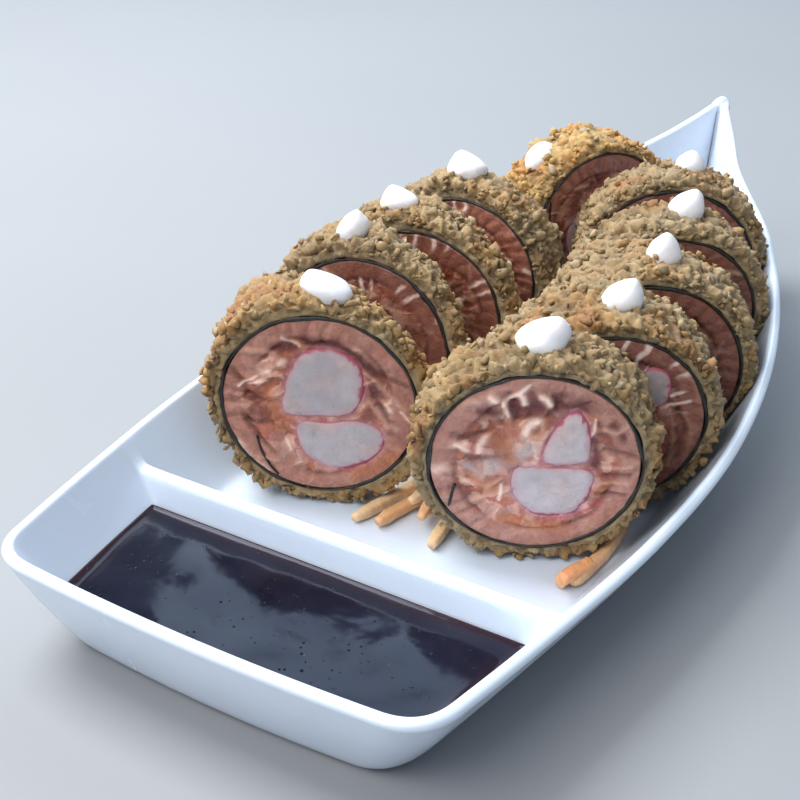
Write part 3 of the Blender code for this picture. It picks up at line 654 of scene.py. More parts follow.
def side_shares():
    """Steps along the plate's side, close together at the divider."""
    first = CORNER_REACH / SIDE_LENGTH
    dense = [(y - CORNER_Y) / SIDE_LENGTH for y in FINE_STRETCH]
    before = np.linspace(first, dense[0], 14, endpoint=False)
    close = np.linspace(*dense, 66, endpoint=False)
    rest = np.linspace(dense[1], 1.0, 120)
    return np.concatenate([before, close, rest])


def rim_outline():
    """The rim's outer edge in plan, from the middle of the front round the plate."""
    half = HALF_WIDTHS[0][1]

    def front(x):
        return (x, CORNER_Y - FRONT_BOW * (1 - (x / half) ** 2))

    points = [front(x) for x in np.linspace(0, half - CORNER_REACH, 26)]
    start = Vector(points[-1])
    corner = Vector((half, CORNER_Y))
    end = Vector((smooth_through(HALF_WIDTHS, CORNER_REACH / SIDE_LENGTH), CORNER_Y + CORNER_REACH))
    for t in np.linspace(0, 1, 14)[1:-1]:
        points.append(tuple((1 - t) ** 2 * start + 2 * t * (1 - t) * corner + t ** 2 * end))
    for share in side_shares():
        points.append((smooth_through(HALF_WIDTHS, share), CORNER_Y + SIDE_LENGTH * share))
    for turn in np.radians(np.linspace(0, 90, 8)[1:]):
        points.append((TIP_RADIUS * math.cos(turn), CORNER_Y + SIDE_LENGTH + TIP_RADIUS * math.sin(turn)))
    points[-1] = (0.0, points[-1][1])
    return np.array(points + [(-x, y) for x, y in reversed(points[1:-1])])


def wall_row(outline, inward, down):
    """One row of the plate's underside, by its share of the way in and down from the rim."""
    x, y = outline.T
    base_y = BASE_START + (y + PLATE_LENGTH / 2) / PLATE_LENGTH * BASE_LENGTH
    rim = np.stack([x, y], axis=1)
    base = np.stack([x * BASE_WIDTH, base_y], axis=1)
    spine_y = np.clip(base_y, BASE_START + SPINE_MARGIN, BASE_START + BASE_LENGTH - SPINE_MARGIN / 3)
    spine = np.stack([np.zeros(len(x)), spine_y], axis=1)
    if inward <= 1:
        plan = rim + (base - rim) * inward
    else:
        plan = base + (spine - base) * (inward - 1)
    z = rim_height(y) + (floor_height(plan[:, 1]) - rim_height(y)) * down
    return np.column_stack([plan, z])


def wall_curve(rows):
    """(share in, share down) along a smooth curve through the plate's wall rows."""
    numbers = list(range(len(WALL_ROWS)))
    inward = list(zip(numbers, [row[0] for row in WALL_ROWS]))
    down = list(zip(numbers, [row[1] for row in WALL_ROWS]))
    return [(smooth_through(inward, row), min(1.0, smooth_through(down, row))) for row in rows]


ROW_STEPS = np.concatenate([np.linspace(0.0, 4.0, 25), np.linspace(4.0, 6.0, 13)[1:]])


def grid_normals(grid):
    """A unit normal for each point of a grid whose rows close on themselves."""
    along = np.roll(grid, -1, axis=1) - np.roll(grid, 1, axis=1)
    down = np.gradient(grid, axis=0)
    normals = np.cross(along, down)
    return normals / np.maximum(np.linalg.norm(normals, axis=2, keepdims=True), 1e-12)


def plate_shells():
    """Grids of the plate's outer and inner surface, rim first."""
    outline = rim_outline()
    outer = np.stack([wall_row(outline, *row) for row in wall_curve(ROW_STEPS)])
    normals = grid_normals(outer)
    if normals[-3, :, 2].mean() < 0:
        normals = -normals
    # the last rows run together along the spine and have no normals of their own
    normals[-2:] = normals[-3]
    return outer, outer + normals * PLATE_WALL, normals


def divider_height(y):
    """The ridge's surface over y, far below the floor away from it."""
    away = np.abs(y - DIVIDER_Y)
    slope = (DIVIDER_TOP - DIVIDER_BOTTOM) / (DIVIDER_BOTTOM_THICKNESS - DIVIDER_TOP_THICKNESS) * 2
    side = DIVIDER_TOP + 0.0004 - (away - DIVIDER_TOP_THICKNESS / 2) * slope
    top = DIVIDER_TOP + 0.0003
    return (side + top - np.sqrt((side - top) ** 2 + DIVIDER_ROUNDING ** 2)) / 2


def with_divider(points):
    """Raises points of the plate's inside onto the divider, with a fillet at its foot."""
    z = points[..., 2]
    ridge = divider_height(points[..., 1])
    raised = (z + ridge + np.sqrt((z - ridge) ** 2 + DIVIDER_FILLET ** 2)) / 2
    near = ease(0.014, 0.007, np.abs(points[..., 1] - DIVIDER_Y))
    points[..., 2] = z + (raised - z) * near
    return points


def build_plate(material):
    outer, inner, normals = plate_shells()
    for _ in range(INNER_SMOOTHING):
        inner[3:-4] = (inner[2:-5] + 2 * inner[3:-4] + inner[4:-3]) / 4
    inner = with_divider(inner)
    up = outer[0] - outer[1]
    row_height = np.linalg.norm(up, axis=1, keepdims=True)
    up /= row_height
    rows = []
    quarter = np.radians(np.linspace(0, 90, 6))
    for side, turns in (("out", quarter), ("in", quarter[::-1])):
        for turn in turns:
            inset = RIM_ROUNDING * (1 - math.cos(turn))
            if side == "in":
                inset = PLATE_WALL - inset
            rows.append(outer[0] + normals[0] * inset - up * RIM_ROUNDING * (1 - math.sin(turn)))
    skip = int(math.ceil(RIM_ROUNDING / row_height.mean()))
    grid = np.concatenate([outer[skip:][::-1], np.stack(rows), inner[skip:]])
    grid[..., 2] = np.maximum(grid[..., 2], 0.0)
    add_piece("plate_glazed", "plate", grid.reshape(-1, 3), grid_faces(*grid.shape[:2]), material)
    return inner


def inside_height(inner):
    """A function that reads the height of the plate's inner surface at (x, y)."""
    step, half_x, half_y = 0.001, 0.064, 0.132
    xs = np.arange(-half_x, half_x + step / 10, step)
    ys = np.arange(-half_y, half_y + step / 10, step)
    field = np.full((len(xs), len(ys)), np.nan)
    rows, columns = inner.shape[:2]
    for i in range(rows - 1):
        for part in np.linspace(0, 1, 4, endpoint=False):
            row = inner[i] * (1 - part) + inner[i + 1] * part
            a = np.clip(np.round((row[:, 0] - xs[0]) / step).astype(int), 0, len(xs) - 1)
            b = np.clip(np.round((row[:, 1] - ys[0]) / step).astype(int), 0, len(ys) - 1)
            field[a, b] = np.fmax(field[a, b], row[:, 2])
    for _ in range(6):
        shifted = [np.roll(field, s, axis=k) for s in (-1, 1) for k in (0, 1)]
        filled = np.nanmean(np.stack(shifted), axis=0) if np.isnan(field).any() else field
        field = np.where(np.isnan(field), filled, field)
    field = np.where(np.isnan(field), 0.0, field)

    def read(points):
        u = np.clip((points[:, 0] - xs[0]) / step, 0, len(xs) - 1.001)
        v = np.clip((points[:, 1] - ys[0]) / step, 0, len(ys) - 1.001)
        i, j = u.astype(int), v.astype(int)
        s, t = u - i, v - j
        return (field[i, j] * (1 - s) * (1 - t) + field[i + 1, j] * s * (1 - t)
                + field[i, j + 1] * (1 - s) * t + field[i + 1, j + 1] * s * t)

    return read


# Sauce

def sauce_edge(inner, level):
    """The outline of the well at one height, along the front and back along the divider."""
    points = []
    for column in range(inner.shape[1]):
        line = inner[:, column]
        if line[0][1] > DIVIDER_Y + 0.001:
            continue
        below = np.nonzero(line[:, 2] <= level)[0]
        if len(below) == 0 or below[0] == 0:
            continue
        k = below[0]
        t = (line[k - 1][2] - level) / (line[k - 1][2] - line[k][2])
        points.append(line[k - 1] + (line[k] - line[k - 1]) * t)
    points = np.array(points)
    lean, gap = 0.141, 0.0009
    back = DIVIDER_Y - DIVIDER_TOP_THICKNESS / 2 - gap - (DIVIDER_TOP - level) * lean
    points = points[points[:, 1] < back]
    well_y = -0.098
    points = points[np.argsort(np.arctan2(points[:, 0], well_y - points[:, 1]))]
    half = points[-1][0]
    closing = [(x, back, level) for x in np.linspace(half, -half, 150)[1:-1]]
    return np.vstack([points, closing])


def build_sauce(inner, material):
    loop = sauce_edge(inner, SAUCE_LEVEL)
    middle_y = (loop[:, 1].min() + loop[:, 1].max()) / 2
    spine_x = np.clip(loop[:, 0], -SAUCE_SPINE, SAUCE_SPINE)
    inward = lifted(spine_x, middle_y) - loop[:, :2]
    shares = np.concatenate([[-0.012], np.linspace(0, 0.16, 11), np.linspace(0.16, 1, 34)[1:]])
    rows, edges = [], []
    for share in shares:
        plan = loop[:, :2] + inward * share
        distance = np.linalg.norm(inward, axis=1) * max(share, 0.0)
        flat = lifted(plan, 0.0)
        height = SAUCE_LEVEL + SAUCE_EDGE_RISE * np.exp(-distance / 0.0007)
        height += noise(flat, 0.012, 5, 2) * 0.00016 * ease(0, 0.003, distance)
        if share < 0:
            height -= 0.0016
        rows.append(np.column_stack([plan, height]))
        edges.append(np.exp(-distance / 0.0016) * 0.9)
    for share in (0.10, 1.0):
        rows.insert(0, lifted(loop[:, :2] + inward * share, SAUCE_BOTTOM))
        edges.insert(0, np.zeros(len(loop)))
    grid = np.stack(rows)
    batch = Batch()
    batch.add(grid.reshape(-1, 3), grid_faces(len(rows), len(loop)), (0, 0, 0), np.concatenate(edges))
    draw = np.random.default_rng(11)
    for _ in range(BUBBLES):
        x = draw.uniform(-0.038, 0.038)
        y = draw.uniform(loop[:, 1].min() + 0.004, loop[:, 1].max() - 0.002)
        radius = draw.uniform(0.00012, 0.00038)
        batch.add(*bubble(x, y, SAUCE_LEVEL - radius * 0.5, radius), (0, 0, 0), 0.12)
    points, faces, _, crags = batch.arrays()
    add_piece("sauce_pool", "sauce", points, faces, material, crag=crags)


def bubble(x, y, z, radius):
    """A small low dome."""
    rings, around = 4, 10
    points = [(x, y, z - radius * 0.4)]
    for i in range(rings):
        turn = math.radians(5 + 80 * i / (rings - 1))
        for j in range(around):
            angle = 2 * math.pi * j / around
            points.append((x + radius * math.cos(turn) * math.cos(angle),
                           y + radius * math.cos(turn) * math.sin(angle), z + radius * math.sin(turn)))
    points.append((x, y, z + radius))
    faces = grid_faces(rings, around, 1)
    faces += [(0, 1 + (j + 1) % around, 1 + j) for j in range(around)]
    last = 1 + (rings - 1) * around
    faces += [(last + j, last + (j + 1) % around, len(points) - 1) for j in range(around)]
    return np.array(points), faces


# Slices

class Slice:
    """Where a slice stands, its form and its frame."""

    def __init__(self, name, number_in_row):
        x, along, lift, lean, turn, depth, size, fan, swell = SLICES[name]
        lean, turn = math.radians(lean), math.radians(turn)
        front_y = CORNER_Y + along * MM
        back_y = front_y + depth * MM * math.cos(turn)
        height = (floor_height(back_y) + PLATE_WALL + 0.0003 + lift * MM
                  + CRUST_RADIUS * MM * size / OVAL * math.cos(lean)
                  + depth * MM * max(0.0, math.sin(lean)))
        self.name, self.seed, self.depth, self.size = name, number_in_row * 17 + 3, depth, size
        self.fan, self.swell = fan, swell
        turning = Matrix.Rotation(turn, 3, "Z") @ Matrix.Rotation(-lean, 3, "X")
        self.axes = np.array(turning)
        self.place = np.array((x * MM, front_y, height))

    def shaped(self, points):
        """From round millimetres to the slice's own oval, its back leaning."""
        oval = points * np.array((self.size * OVAL, 1.0, self.size / OVAL))
        oval[:, 1] *= 1 - self.fan * oval[:, 0] / self.depth
        return oval

    def to_row(self, points):
        """From round millimetres in the slice's frame to metres in the row frame."""
        return self.place_real(self.shaped(points))

    def place_real(self, points):
        """From true millimetres in the slice's frame to metres in the row frame."""
        return points * MM @ self.axes.T + self.place

    def swelling(self, angle):
        """Extra radius of the crust at an angle round the slice."""
        away = np.abs((SWELL_ANGLE - angle + np.pi) % (2 * np.pi) - np.pi)
        return self.swell * np.cos(np.pi / 2 * np.minimum(away / SWELL_REACH, 1.0)) ** 2

    def seat_height(self, x):
        """Height and slope of the crust under a topping at local x."""
        angle = math.acos(x / (CRUST_RADIUS * self.size * OVAL))
        radius = CRUST_RADIUS + self.swelling(angle)
        wide, high = radius * self.size * OVAL, radius * self.size / OVAL
        share = math.sqrt(1 - (x / wide) ** 2)
        return high * share - SEAT_DEPTH, -high * x / (wide ** 2 * share)


def ring_points(angles, radius):
    return np.stack([radius * np.cos(angles), radius * np.sin(angles)], axis=-1)


def crust_colours(points, own, seed, outside):
    """Golden crumb colours: broad patches, and each crumb's own shade."""
    shift = np.array((seed * 3.1, seed * 1.7, seed * 2.3))
    patch = noise(points + shift, 10.0, seed, 2)
    tints = np.tile(np.array(TAN), (len(points), 1))
    tints = blend(tints, GOLD, ease(-0.2, 0.5, patch) * outside)
    tints = blend(tints, RUST, ease(0.35, 0.9, patch) * outside * 0.7)
    tints = blend(tints, OLIVE, patches(points - shift, 8.0, seed + 5, 0.1, 0.7, 2) * 0.45)
    tints = blend(tints, CUT_CRUST, (1 - outside) * 0.7)
    return tints * CRUST_TONE * (0.90 + 0.20 * own)[:, None]


def crust_profile(piece):
    """Radius and depth of the points round the ring's section, from the front cut's inner edge."""
    steps = int((piece.depth + piece.fan * CRUST_RADIUS) / CRUST_STEP)
    radii = np.linspace(CRUST_BORE, CRUST_RADIUS, 8)
    profile = [(radius, 0.0) for radius in radii[:-1]]
    profile += [(CRUST_RADIUS, piece.depth * part) for part in np.linspace(0, 1, steps)]
    profile += [(radius, piece.depth) for radius in radii[-2::-1]]
    profile += [(CRUST_BORE, piece.depth * part) for part in (0.75, 0.5, 0.25)]
    return np.array(profile)


def build_crust(piece, material, inside):
    """The breading: a ring with lumps and crags, and loose crumbs stuck on."""
    seed, profile = piece.seed, crust_profile(piece)
    angles = np.linspace(0, 2 * np.pi, CRUST_AROUND, endpoint=False)
    radius, along = [np.repeat(column, CRUST_AROUND) for column in profile.T]
    angle = np.tile(angles, len(profile))
    spokes = np.stack([np.cos(angle), np.zeros(len(angle)), np.sin(angle)], axis=1)
    outside = ease(CRUST_BORE + 0.9, CRUST_RADIUS - 0.4, radius)
    swelling = piece.swelling(angle) * (radius - CRUST_BORE) / (CRUST_RADIUS - CRUST_BORE)
    points = spokes * (radius + swelling)[:, None]
    points[:, 1] = along
    shift = piece.shaped(points) + seed * 5.3
    warp = shift + np.stack([noise(shift, 3.0, seed + 20 + axis) for axis in range(3)], axis=1) * 0.7
    big, big_after, big_own = cells(warp, LUMP_SIZE, seed)
    small, after, small_own = cells(warp, GRAIN_SIZE, seed + 9)
    lumps = (0.62 - big) * (0.4 + big_own) * 1.7
    grains = (0.5 - small) * (0.4 + small_own) * 0.9
    ridges = 0.45 - np.abs(noise(warp, RIDGE_SIZE, seed + 31, 3)) * 2.2
    fine = noise(shift, 1.3, seed + 3, 3) * 0.50
    waves = noise(shift, 8.0, seed + 2, 2) * 0.45
    relief = np.clip(lumps + grains + ridges + fine + waves, -1.1, 1.8)
    from_cut = np.minimum(along, piece.depth - along)
    rounding = np.exp(-from_cut / 1.1) * 0.9
    points += spokes * ((relief - rounding) * outside)[:, None]
    cut = grains * 0.55 + lumps * 0.25 + fine * 1.4
    facing = np.where(along < piece.depth / 2, -1.0, 1.0) * np.exp(-from_cut / 0.8)
    points[:, 1] += facing * np.where(radius > CRUST_BORE + 0.05, cut, 0.0)
    ragged = noise(shift, 2.2, seed + 6) * 0.35
    points += spokes * np.where(np.abs(radius - CRUST_BORE) < 0.1, ragged, 0.0)[:, None]
    # painted shade: the crag value is low in the creases between crumbs and in the low parts of the relief,
    # high on the lumps
    creases = ease(0.22, 0.0, after - small) * 0.16 + ease(0.16, 0.0, big_after - big) * 0.22
    crag = np.clip(0.55 + relief * 0.34 - creases, 0, 1)
    crag = np.where(outside > 0.5, crag, np.clip(0.58 + cut * 0.7, 0, 1))
    # each slice's crust tone factor is painted light and shade
    tints = crust_colours(points, small_own, seed, outside) * CRUST_LIGHT_TONES.get(piece.name, 1.0)
    batch = Batch()
    batch.add(points, grid_faces(len(profile), CRUST_AROUND, wrap_rows=True), tints, crag)
    add_crumbs(batch, piece)
    points, faces, tints, crags = batch.arrays()
    add_piece(f"breading_{piece.name}", f"crust_{piece.name}",
              settle(piece.to_row(points), inside), faces, material, tints, crags)


def settle(points, inside):
    """Keeps crumbs out of the plate: they are pressed flat on its floor and its walls."""
    low = inside(points) + 0.0001
    points[:, 2] = np.maximum(points[:, 2], low)
    return points


CHIP = bmesh.new()
bmesh.ops.create_icosphere(CHIP, subdivisions=1, radius=1.0)
CHIP_POINTS = np.array([vert.co[:] for vert in CHIP.verts])
CHIP_FACES = np.array([[vert.index for vert in face.verts] for face in CHIP.faces])
CHIP.free()


def add_crumbs(batch, piece):
    """Jagged crumbs half sunk in the breading, on its outside and round its cut edges."""
    draw = np.random.default_rng(piece.seed)
    count, corners = int(CRUMBS_PER_MM * (piece.depth + piece.fan * 8)), len(CHIP_POINTS)
    angle = draw.uniform(0, 2 * np.pi, count)
    on_edge = draw.random(count) < EDGE_CRUMBS
    cut_side = np.where(draw.random(count) < FRONT_CRUMBS, 0.0, piece.depth)
    along = np.where(on_edge, cut_side, draw.uniform(0.3, piece.depth - 0.3, count))
    radius = np.where(on_edge, draw.uniform(NORI_RADIUS + 0.9, CRUST_RADIUS - 0.3, count),
                      CRUST_RADIUS + draw.uniform(-0.75, 0.45, count)) + piece.swelling(angle)
    size = 0.45 + 1.05 * draw.random(count) ** 2.2
    size = np.where(on_edge, size * 0.75, size)
    stretch = draw.uniform(0.45, 1.4, (count, 1, 3)) * draw.uniform(0.45, 1.5, (count, corners, 1))
    chips = CHIP_POINTS * stretch * size[:, None, None]
    axes = np.linalg.qr(draw.normal(size=(count, 3, 3)))[0]
    middles = np.stack([radius * np.cos(angle), along, radius * np.sin(angle)], axis=1)
    points = chips @ axes + middles[:, None, :]
    shades = crust_colours(middles, draw.random(count), piece.seed, np.ones(count))
    # the slice's crust tone factor is painted light and shade
    shades = shades * CRUST_LIGHT_TONES.get(piece.name, 1.0)
    pale = draw.random(count) < PALE_CRUMBS
    shades = np.where(pale[:, None], np.array(PALE_CRUMB) * CRUST_TONE, shades)
    shades *= draw.uniform(0.92, 1.08, (count, 1))
    faces = (CHIP_FACES[None] + corners * np.arange(count)[:, None, None]).reshape(-1, 3)
    batch.add(points.reshape(-1, 3), faces.tolist(), np.repeat(shades, corners, axis=0),
              np.repeat(draw.uniform(0.52, 0.66, count), corners))


def tail_radius(name, angle):
    """The radius of the sheet's free end at an angle inside its arc (radians)."""
    leaves, ends, share = TAILS[name]
    part = (np.degrees(angle) - ends) / (leaves - ends)
    return RING * (share + (1 - share) * part)


def build_nori(piece, material):
    """The dark ring and its free end, as bands with uneven edges."""
    seed, depth, name = piece.seed, piece.depth, piece.name
    batch = Batch()
    angles = np.linspace(0, 2 * np.pi, 280, endpoint=False)
    band(batch, angles, NORI_RADIUS + 0.15, NORI_THICKNESS, depth, seed, True)
    leaves, ends, _ = TAILS[name]
    arc = np.radians(np.linspace(leaves, ends, 40))
    band(batch, arc, tail_radius(name, arc), NORI_THICKNESS * 0.9, depth, seed + 1, False)
    points, faces, _, _ = batch.arrays()
    add_piece(f"seaweed_{name}", f"nori_{name}", piece.to_row(points), faces, material)


def band(batch, angles, radius, thickness, depth, seed, closed):
    """A band of uneven thickness round the slice's axis, standing out a little at both cuts."""
    count = len(angles)
    base = ring_points(angles, np.broadcast_to(radius, count))
    flat = np.column_stack([base[:, 0], np.full(count, seed * 2.0), base[:, 1]])
    wander = noise(flat, 9.0, seed, 3) * 0.22
    thick = thickness * (0.72 + 0.5 * noise(flat, 5.0, seed + 3, 3))
    if not closed:
        part = np.linspace(0, 1, count)
        thick = thick * ease(-0.1, 0.08, part) * ease(1.04, 0.9, part)
    rows = []
    third, past = depth * 0.33, depth + 0.12
    section = [(0, -0.12), (0.5, -0.30), (1, -0.12), (1, third), (1, depth * 0.67),
               (1, past), (0.5, depth + 0.25), (0, past), (0, depth * 0.67), (0, third)]
    for inward, along in section:
        spread = np.broadcast_to(radius, count) + wander - thick * inward
        ring = ring_points(angles, spread)
        lift = noise(flat + along, 2.5, seed + 7) * 0.12
        rows.append(np.column_stack([ring[:, 0], along + lift, ring[:, 1]]))
    faces = grid_faces(len(rows), count, wrap_rows=True, wrap_columns=closed)
    if not closed:
        faces.append(tuple(i * count for i in range(len(rows))))
        faces.append(tuple(i * count + count - 1 for i in reversed(range(len(rows)))))
    batch.add(np.vstack(rows), faces, (0, 0, 0), 0.5)


def disc_grid(count):
    """An even grid of (x, z) points over the unit disc, count + 1 points a side."""
    side = np.linspace(-1, 1, count + 1)
    a, b = np.meshgrid(side, side, indexing="ij")
    a, b = a.ravel(), b.ravel()
    wide = np.abs(a) > np.abs(b)
    with np.errstate(divide="ignore", invalid="ignore"):
        radius = np.where(wide, a, b)
        angle = np.where(wide, np.pi / 4 * (b / a), np.pi / 2 - np.pi / 4 * (a / b))
    angle = np.where((a == 0) & (b == 0), 0.0, angle)
    return np.stack([radius * np.cos(angle), radius * np.sin(angle)], axis=1)


def distance_to_path(points, path, closed=False):
    path = np.array(path, dtype=float)
    if closed:
        path = np.vstack([path, path[:1]])
    best = np.full(len(points), 1e9)
    for a, b in zip(path, path[1:]):
        run = b - a
        t = np.clip(((points - a) @ run) / max(run @ run, 1e-12), 0, 1)
        best = np.minimum(best, np.linalg.norm(points - a - t[:, None] * run, axis=1))
    return best


def rounded(outline, count):
    """A smooth closed curve through the corners of an outline."""
    corners = np.array(outline, dtype=float)
    total = len(corners)
    points = []
    for step in np.linspace(0, total, count, endpoint=False):
        i = int(step)
        t = step - i
        p0, p1, p2, p3 = (corners[(i + k) % total] for k in (-1, 0, 1, 2))
        points.append(0.5 * (2 * p1 + (p2 - p0) * t + (2 * p0 - 5 * p1 + 4 * p2 - p3) * t ** 2
                             + (3 * p1 - p0 - 3 * p2 + p3) * t ** 3))
    return np.array(points)


def sticks_of(name):
    return KANI.get(name, {"pair": KANI_BEHIND})


def strokes_of(name, seed):
    """The marks on a slice's cut: its own, or short ribs and grooves in all directions."""
    strokes = [(kind, width, path) for kind, width, *path in STROKES.get(name, [])]
    draw = np.random.default_rng(seed)
    for i in range(12 if name in STROKES else 34):
        angle, radius = draw.uniform(0, 2 * math.pi), draw.uniform(6.0, 17.5)
        lean = draw.uniform(-0.35, 0.35)
        path = ring_points(np.array([angle, angle + lean * 0.5, angle + lean]),
                           radius + np.array([0.0, 1.4, 3.0]))
        kind = ("groove", "fold", "fold", "glinting_flake", "orange", "glinting_flake")[i % 6]
        width = draw.uniform(0.25, 0.5) * (2.4 if kind == "orange" else 1.0)
        strokes.append((kind, width, [tuple(point) for point in path]))
    return strokes


def within(points, outline):
    """True for the points inside a closed outline."""
    inside = np.zeros(len(points), dtype=bool)
    for (ax, ay), (bx, by) in zip(outline, np.roll(outline, -1, axis=0)):
        if ay == by:
            continue
        crosses = (ay > points[:, 1]) != (by > points[:, 1])
        inside ^= crosses & (points[:, 0] < ax + (points[:, 1] - ay) * (bx - ax) / (by - ay))
    return inside


def flesh(flat, warp, wrinkle, seed):
    """Height and colours of flaked flesh: patches, wrinkles with painted highlights on their crests and
    painted shade in their troughs, and single flakes.
    """
    height = noise(flat, 5.0, seed + 2, 2) * 0.28 + np.maximum(wrinkle, -0.3) * 0.26
    tints = np.tile(np.array(SALMON), (len(flat), 1))
    tints = blend(tints, BEIGE, patches(flat, 3.6, seed + 3, -0.1, 0.5, 3) * 0.75)
    tints = blend(tints, ORANGE_FLESH, patches(flat, 4.0, seed + 4, 0.1, 0.6, 2) * 0.65)
    broken = patches(flat, 2.4, seed + 21, 0.0, 0.4, 2)
    # painted highlight: cream along the wrinkles' crests; painted shade: maroon in their troughs
    tints = blend(tints, CREAM, ease(0.55, 0.95, wrinkle) * broken * 0.6)
    tints = blend(tints, MAROON, ease(0.2, -0.5, wrinkle) * 0.45)
    nearest, after, own = cells(lifted(warp, flat[:, 2]), FLAKE_SIZE, seed + 27)
    tints = blend(tints, CREAM, ease(0.60, 0.90, own) * 0.35)
    tints = blend(tints, MAROON, ease(0.35, 0.10, own) * 0.30)
    height += (own - 0.5) * 0.35 - ease(0.14, 0.0, after - nearest) * 0.25
    return height, tints


def add_sheet(height, tints, flat, radius, seed):
    """The smoother sheet round the flesh, with a dark seam along its inner edge."""
    edge = RING - SHEET_WIDTH - 0.9 * noise(flat, 6.0, seed + 5)
    sheet = ease(edge - 0.5, edge + 0.4, radius)
    tints = blend(tints, SHEET_PINK, sheet * 0.8)
    seam = np.exp(-((radius - edge) / 0.5) ** 2) * patches(flat, 7.0, seed + 15, -0.5, 0.3)
    height = height * (1 - sheet * 0.45) + 0.2 * sheet - 0.7 * seam
    return height, blend(tints, MAROON, seam * 0.55)


def add_ribs(height, tints, name, flat, radius, ribs, seed):
    """Short spokes near the rim, with painted shade between them: in patches, or all round."""
    if name in RIBBED:
        where = ease(9.0, 14.0, radius)
    else:
        where = patches(flat, 12.0, seed + 7, 0.0, 0.4) * ease(11.0, 15.0, radius)
    height = height + np.maximum(ribs, -0.5) * 0.22 * where
    # painted shade: maroon in the low places between the spokes
    return height, blend(tints, MAROON, ease(-0.3, -1.0, ribs) * where * 0.35)


def add_marks(height, tints, name, flat, warp, seed):
    for kind, width, path in strokes_of(name, seed):
        rise_by, colour, strength = MARKS[kind]
        width = width * (1 + 0.35 * noise(flat, 1.6, seed + 11))
        mark = np.exp(-(distance_to_path(warp, path) / width) ** 2)
        height = height + rise_by * mark
        # the marks' colours hold painted shade in the grooves and painted highlights on the glinting flakes
        tints = blend(tints, colour, mark * strength)
    return height, tints


def add_hollows(height, tints, name, places):
    """Hollows that hold the crab sticks and the sheet's free end."""
    for outline in sticks_of(name).values():
        loop = rounded(outline, 60)
        gap = distance_to_path(places, loop.tolist(), closed=True)
        height = np.where(within(places, loop) & (gap > 0.4), np.minimum(height, -0.6), height)
        around = np.exp(-(gap / 0.7) ** 2)
        height -= around * 0.35
        tints = blend(tints, KANI_PINK, around * 0.7)
    leaves, ends, _ = TAILS[name]
    arc = np.radians(np.linspace(leaves, ends, 12))
    tail = distance_to_path(places, ring_points(arc, tail_radius(name, arc)))
    return height - np.exp(-(tail / 0.7) ** 2) * 0.5, tints


def face_relief(name, places, seed):
    """Height (mm, out of the cut), colour and depth shade of the filling over its face."""
    flat = lifted(places, seed * 4.0)
    radius = np.linalg.norm(places, axis=1)
    bend = np.column_stack([noise(flat, 4.5, seed + axis, 2) for axis in range(2)])
    warp = places + bend * 0.7
    wrinkle = 1 - np.abs(noise(lifted(places + bend * 1.5, seed * 4.0), 4.2, seed + 8, 2)) * 2.6
    ribs = np.sin(np.arctan2(places[:, 1], places[:, 0]) * RIBS + 2.0 * bend[:, 0] + radius * 0.2)
    height, tints = flesh(flat, warp, wrinkle, seed)
    height, tints = add_sheet(height, tints, flat, radius, seed)
    height, tints = add_ribs(height, tints, name, flat, radius, ribs, seed)
    height, tints = add_marks(height, tints, name, flat, warp, seed)
    height, tints = add_hollows(height, tints, name, places)
    height *= 0.62 * (ease(RING + 0.3, RING - 1.2, radius) * 0.85 + 0.15)
    # painted shade: the crag value is low in the face's hollows, high on its raised parts
    crag = np.clip(0.60 + height * 0.6, 0, 1)
    # painted shade: the fillings behind get darker and redder; the front ones get their own painted light
    # and shade factor
    if name in SHADE_BEHIND:
        tints = blend(tints, MAROON, np.full(len(places), 0.30)) * SHADE_BEHIND_TONE
    tints = tints * SHADE_BEHIND.get(name, 1.0) * FACE_LIGHT_TONES.get(name, 1.0)
    # painted highlight: cream glints along the face's upper edge
    if name in GLINTING:
        glint = ease(0.35, 0.9, ribs) * patches(flat, 5.0, seed + 23, 0.05, 0.45)
        glint *= ease(11.0, 14.0, radius) * ease(-2.0, 6.0, places[:, 1])
        tints = blend(tints, CREAM, glint * 0.75)
    return height, tints, crag


def build_filling(piece, material):
    """The filling: two cut faces and the side between them, a little inside the dark ring."""
    name, seed, depth = piece.name, piece.seed, piece.depth
    rim = RING + 0.25
    count = 128 if name in STROKES else 84
    unit = disc_grid(count)
    batch = Batch()
    height, tints, crag = face_relief(name, unit * rim, seed)
    front = np.column_stack([unit[:, 0] * rim, -height, unit[:, 1] * rim])
    side = count + 1
    indices = np.arange(side * side).reshape(side, side)
    border = np.concatenate([indices[0, :-1], indices[:-1, -1], indices[-1, :0:-1], indices[:0:-1, 0]])
    batch.add(front, grid_faces(side, side, wrap_columns=False), tints, crag)
    loop = unit[border]
    rings = [(1.0, 0.33), (1.0, 0.67)] + [(share, 1.0) for share in np.linspace(1.0, 0.0, 22)]
    back = np.vstack([loop * rim * share for share, _ in rings])
    along = np.repeat([part * depth for _, part in rings], len(loop))
    back_height, back_tints, back_crag = face_relief(name, back, seed + 50)
    facing = np.where(along >= depth - 0.01, back_height, 0.0)
    points = np.column_stack([back[:, 0], along + facing, back[:, 1]])
    start, columns = batch.count, len(loop)
    batch.add(points, grid_faces(len(rings), columns), back_tints, back_crag)
    batch.faces += [(int(border[j]), int(border[(j + 1) % columns]), start + (j + 1) % columns, start + j)
                    for j in range(columns)]
    points, faces, tints, crags = batch.arrays()
    add_piece(f"flesh_{name}", f"filling_{name}", piece.to_row(points), faces, material,
              tints, crags)


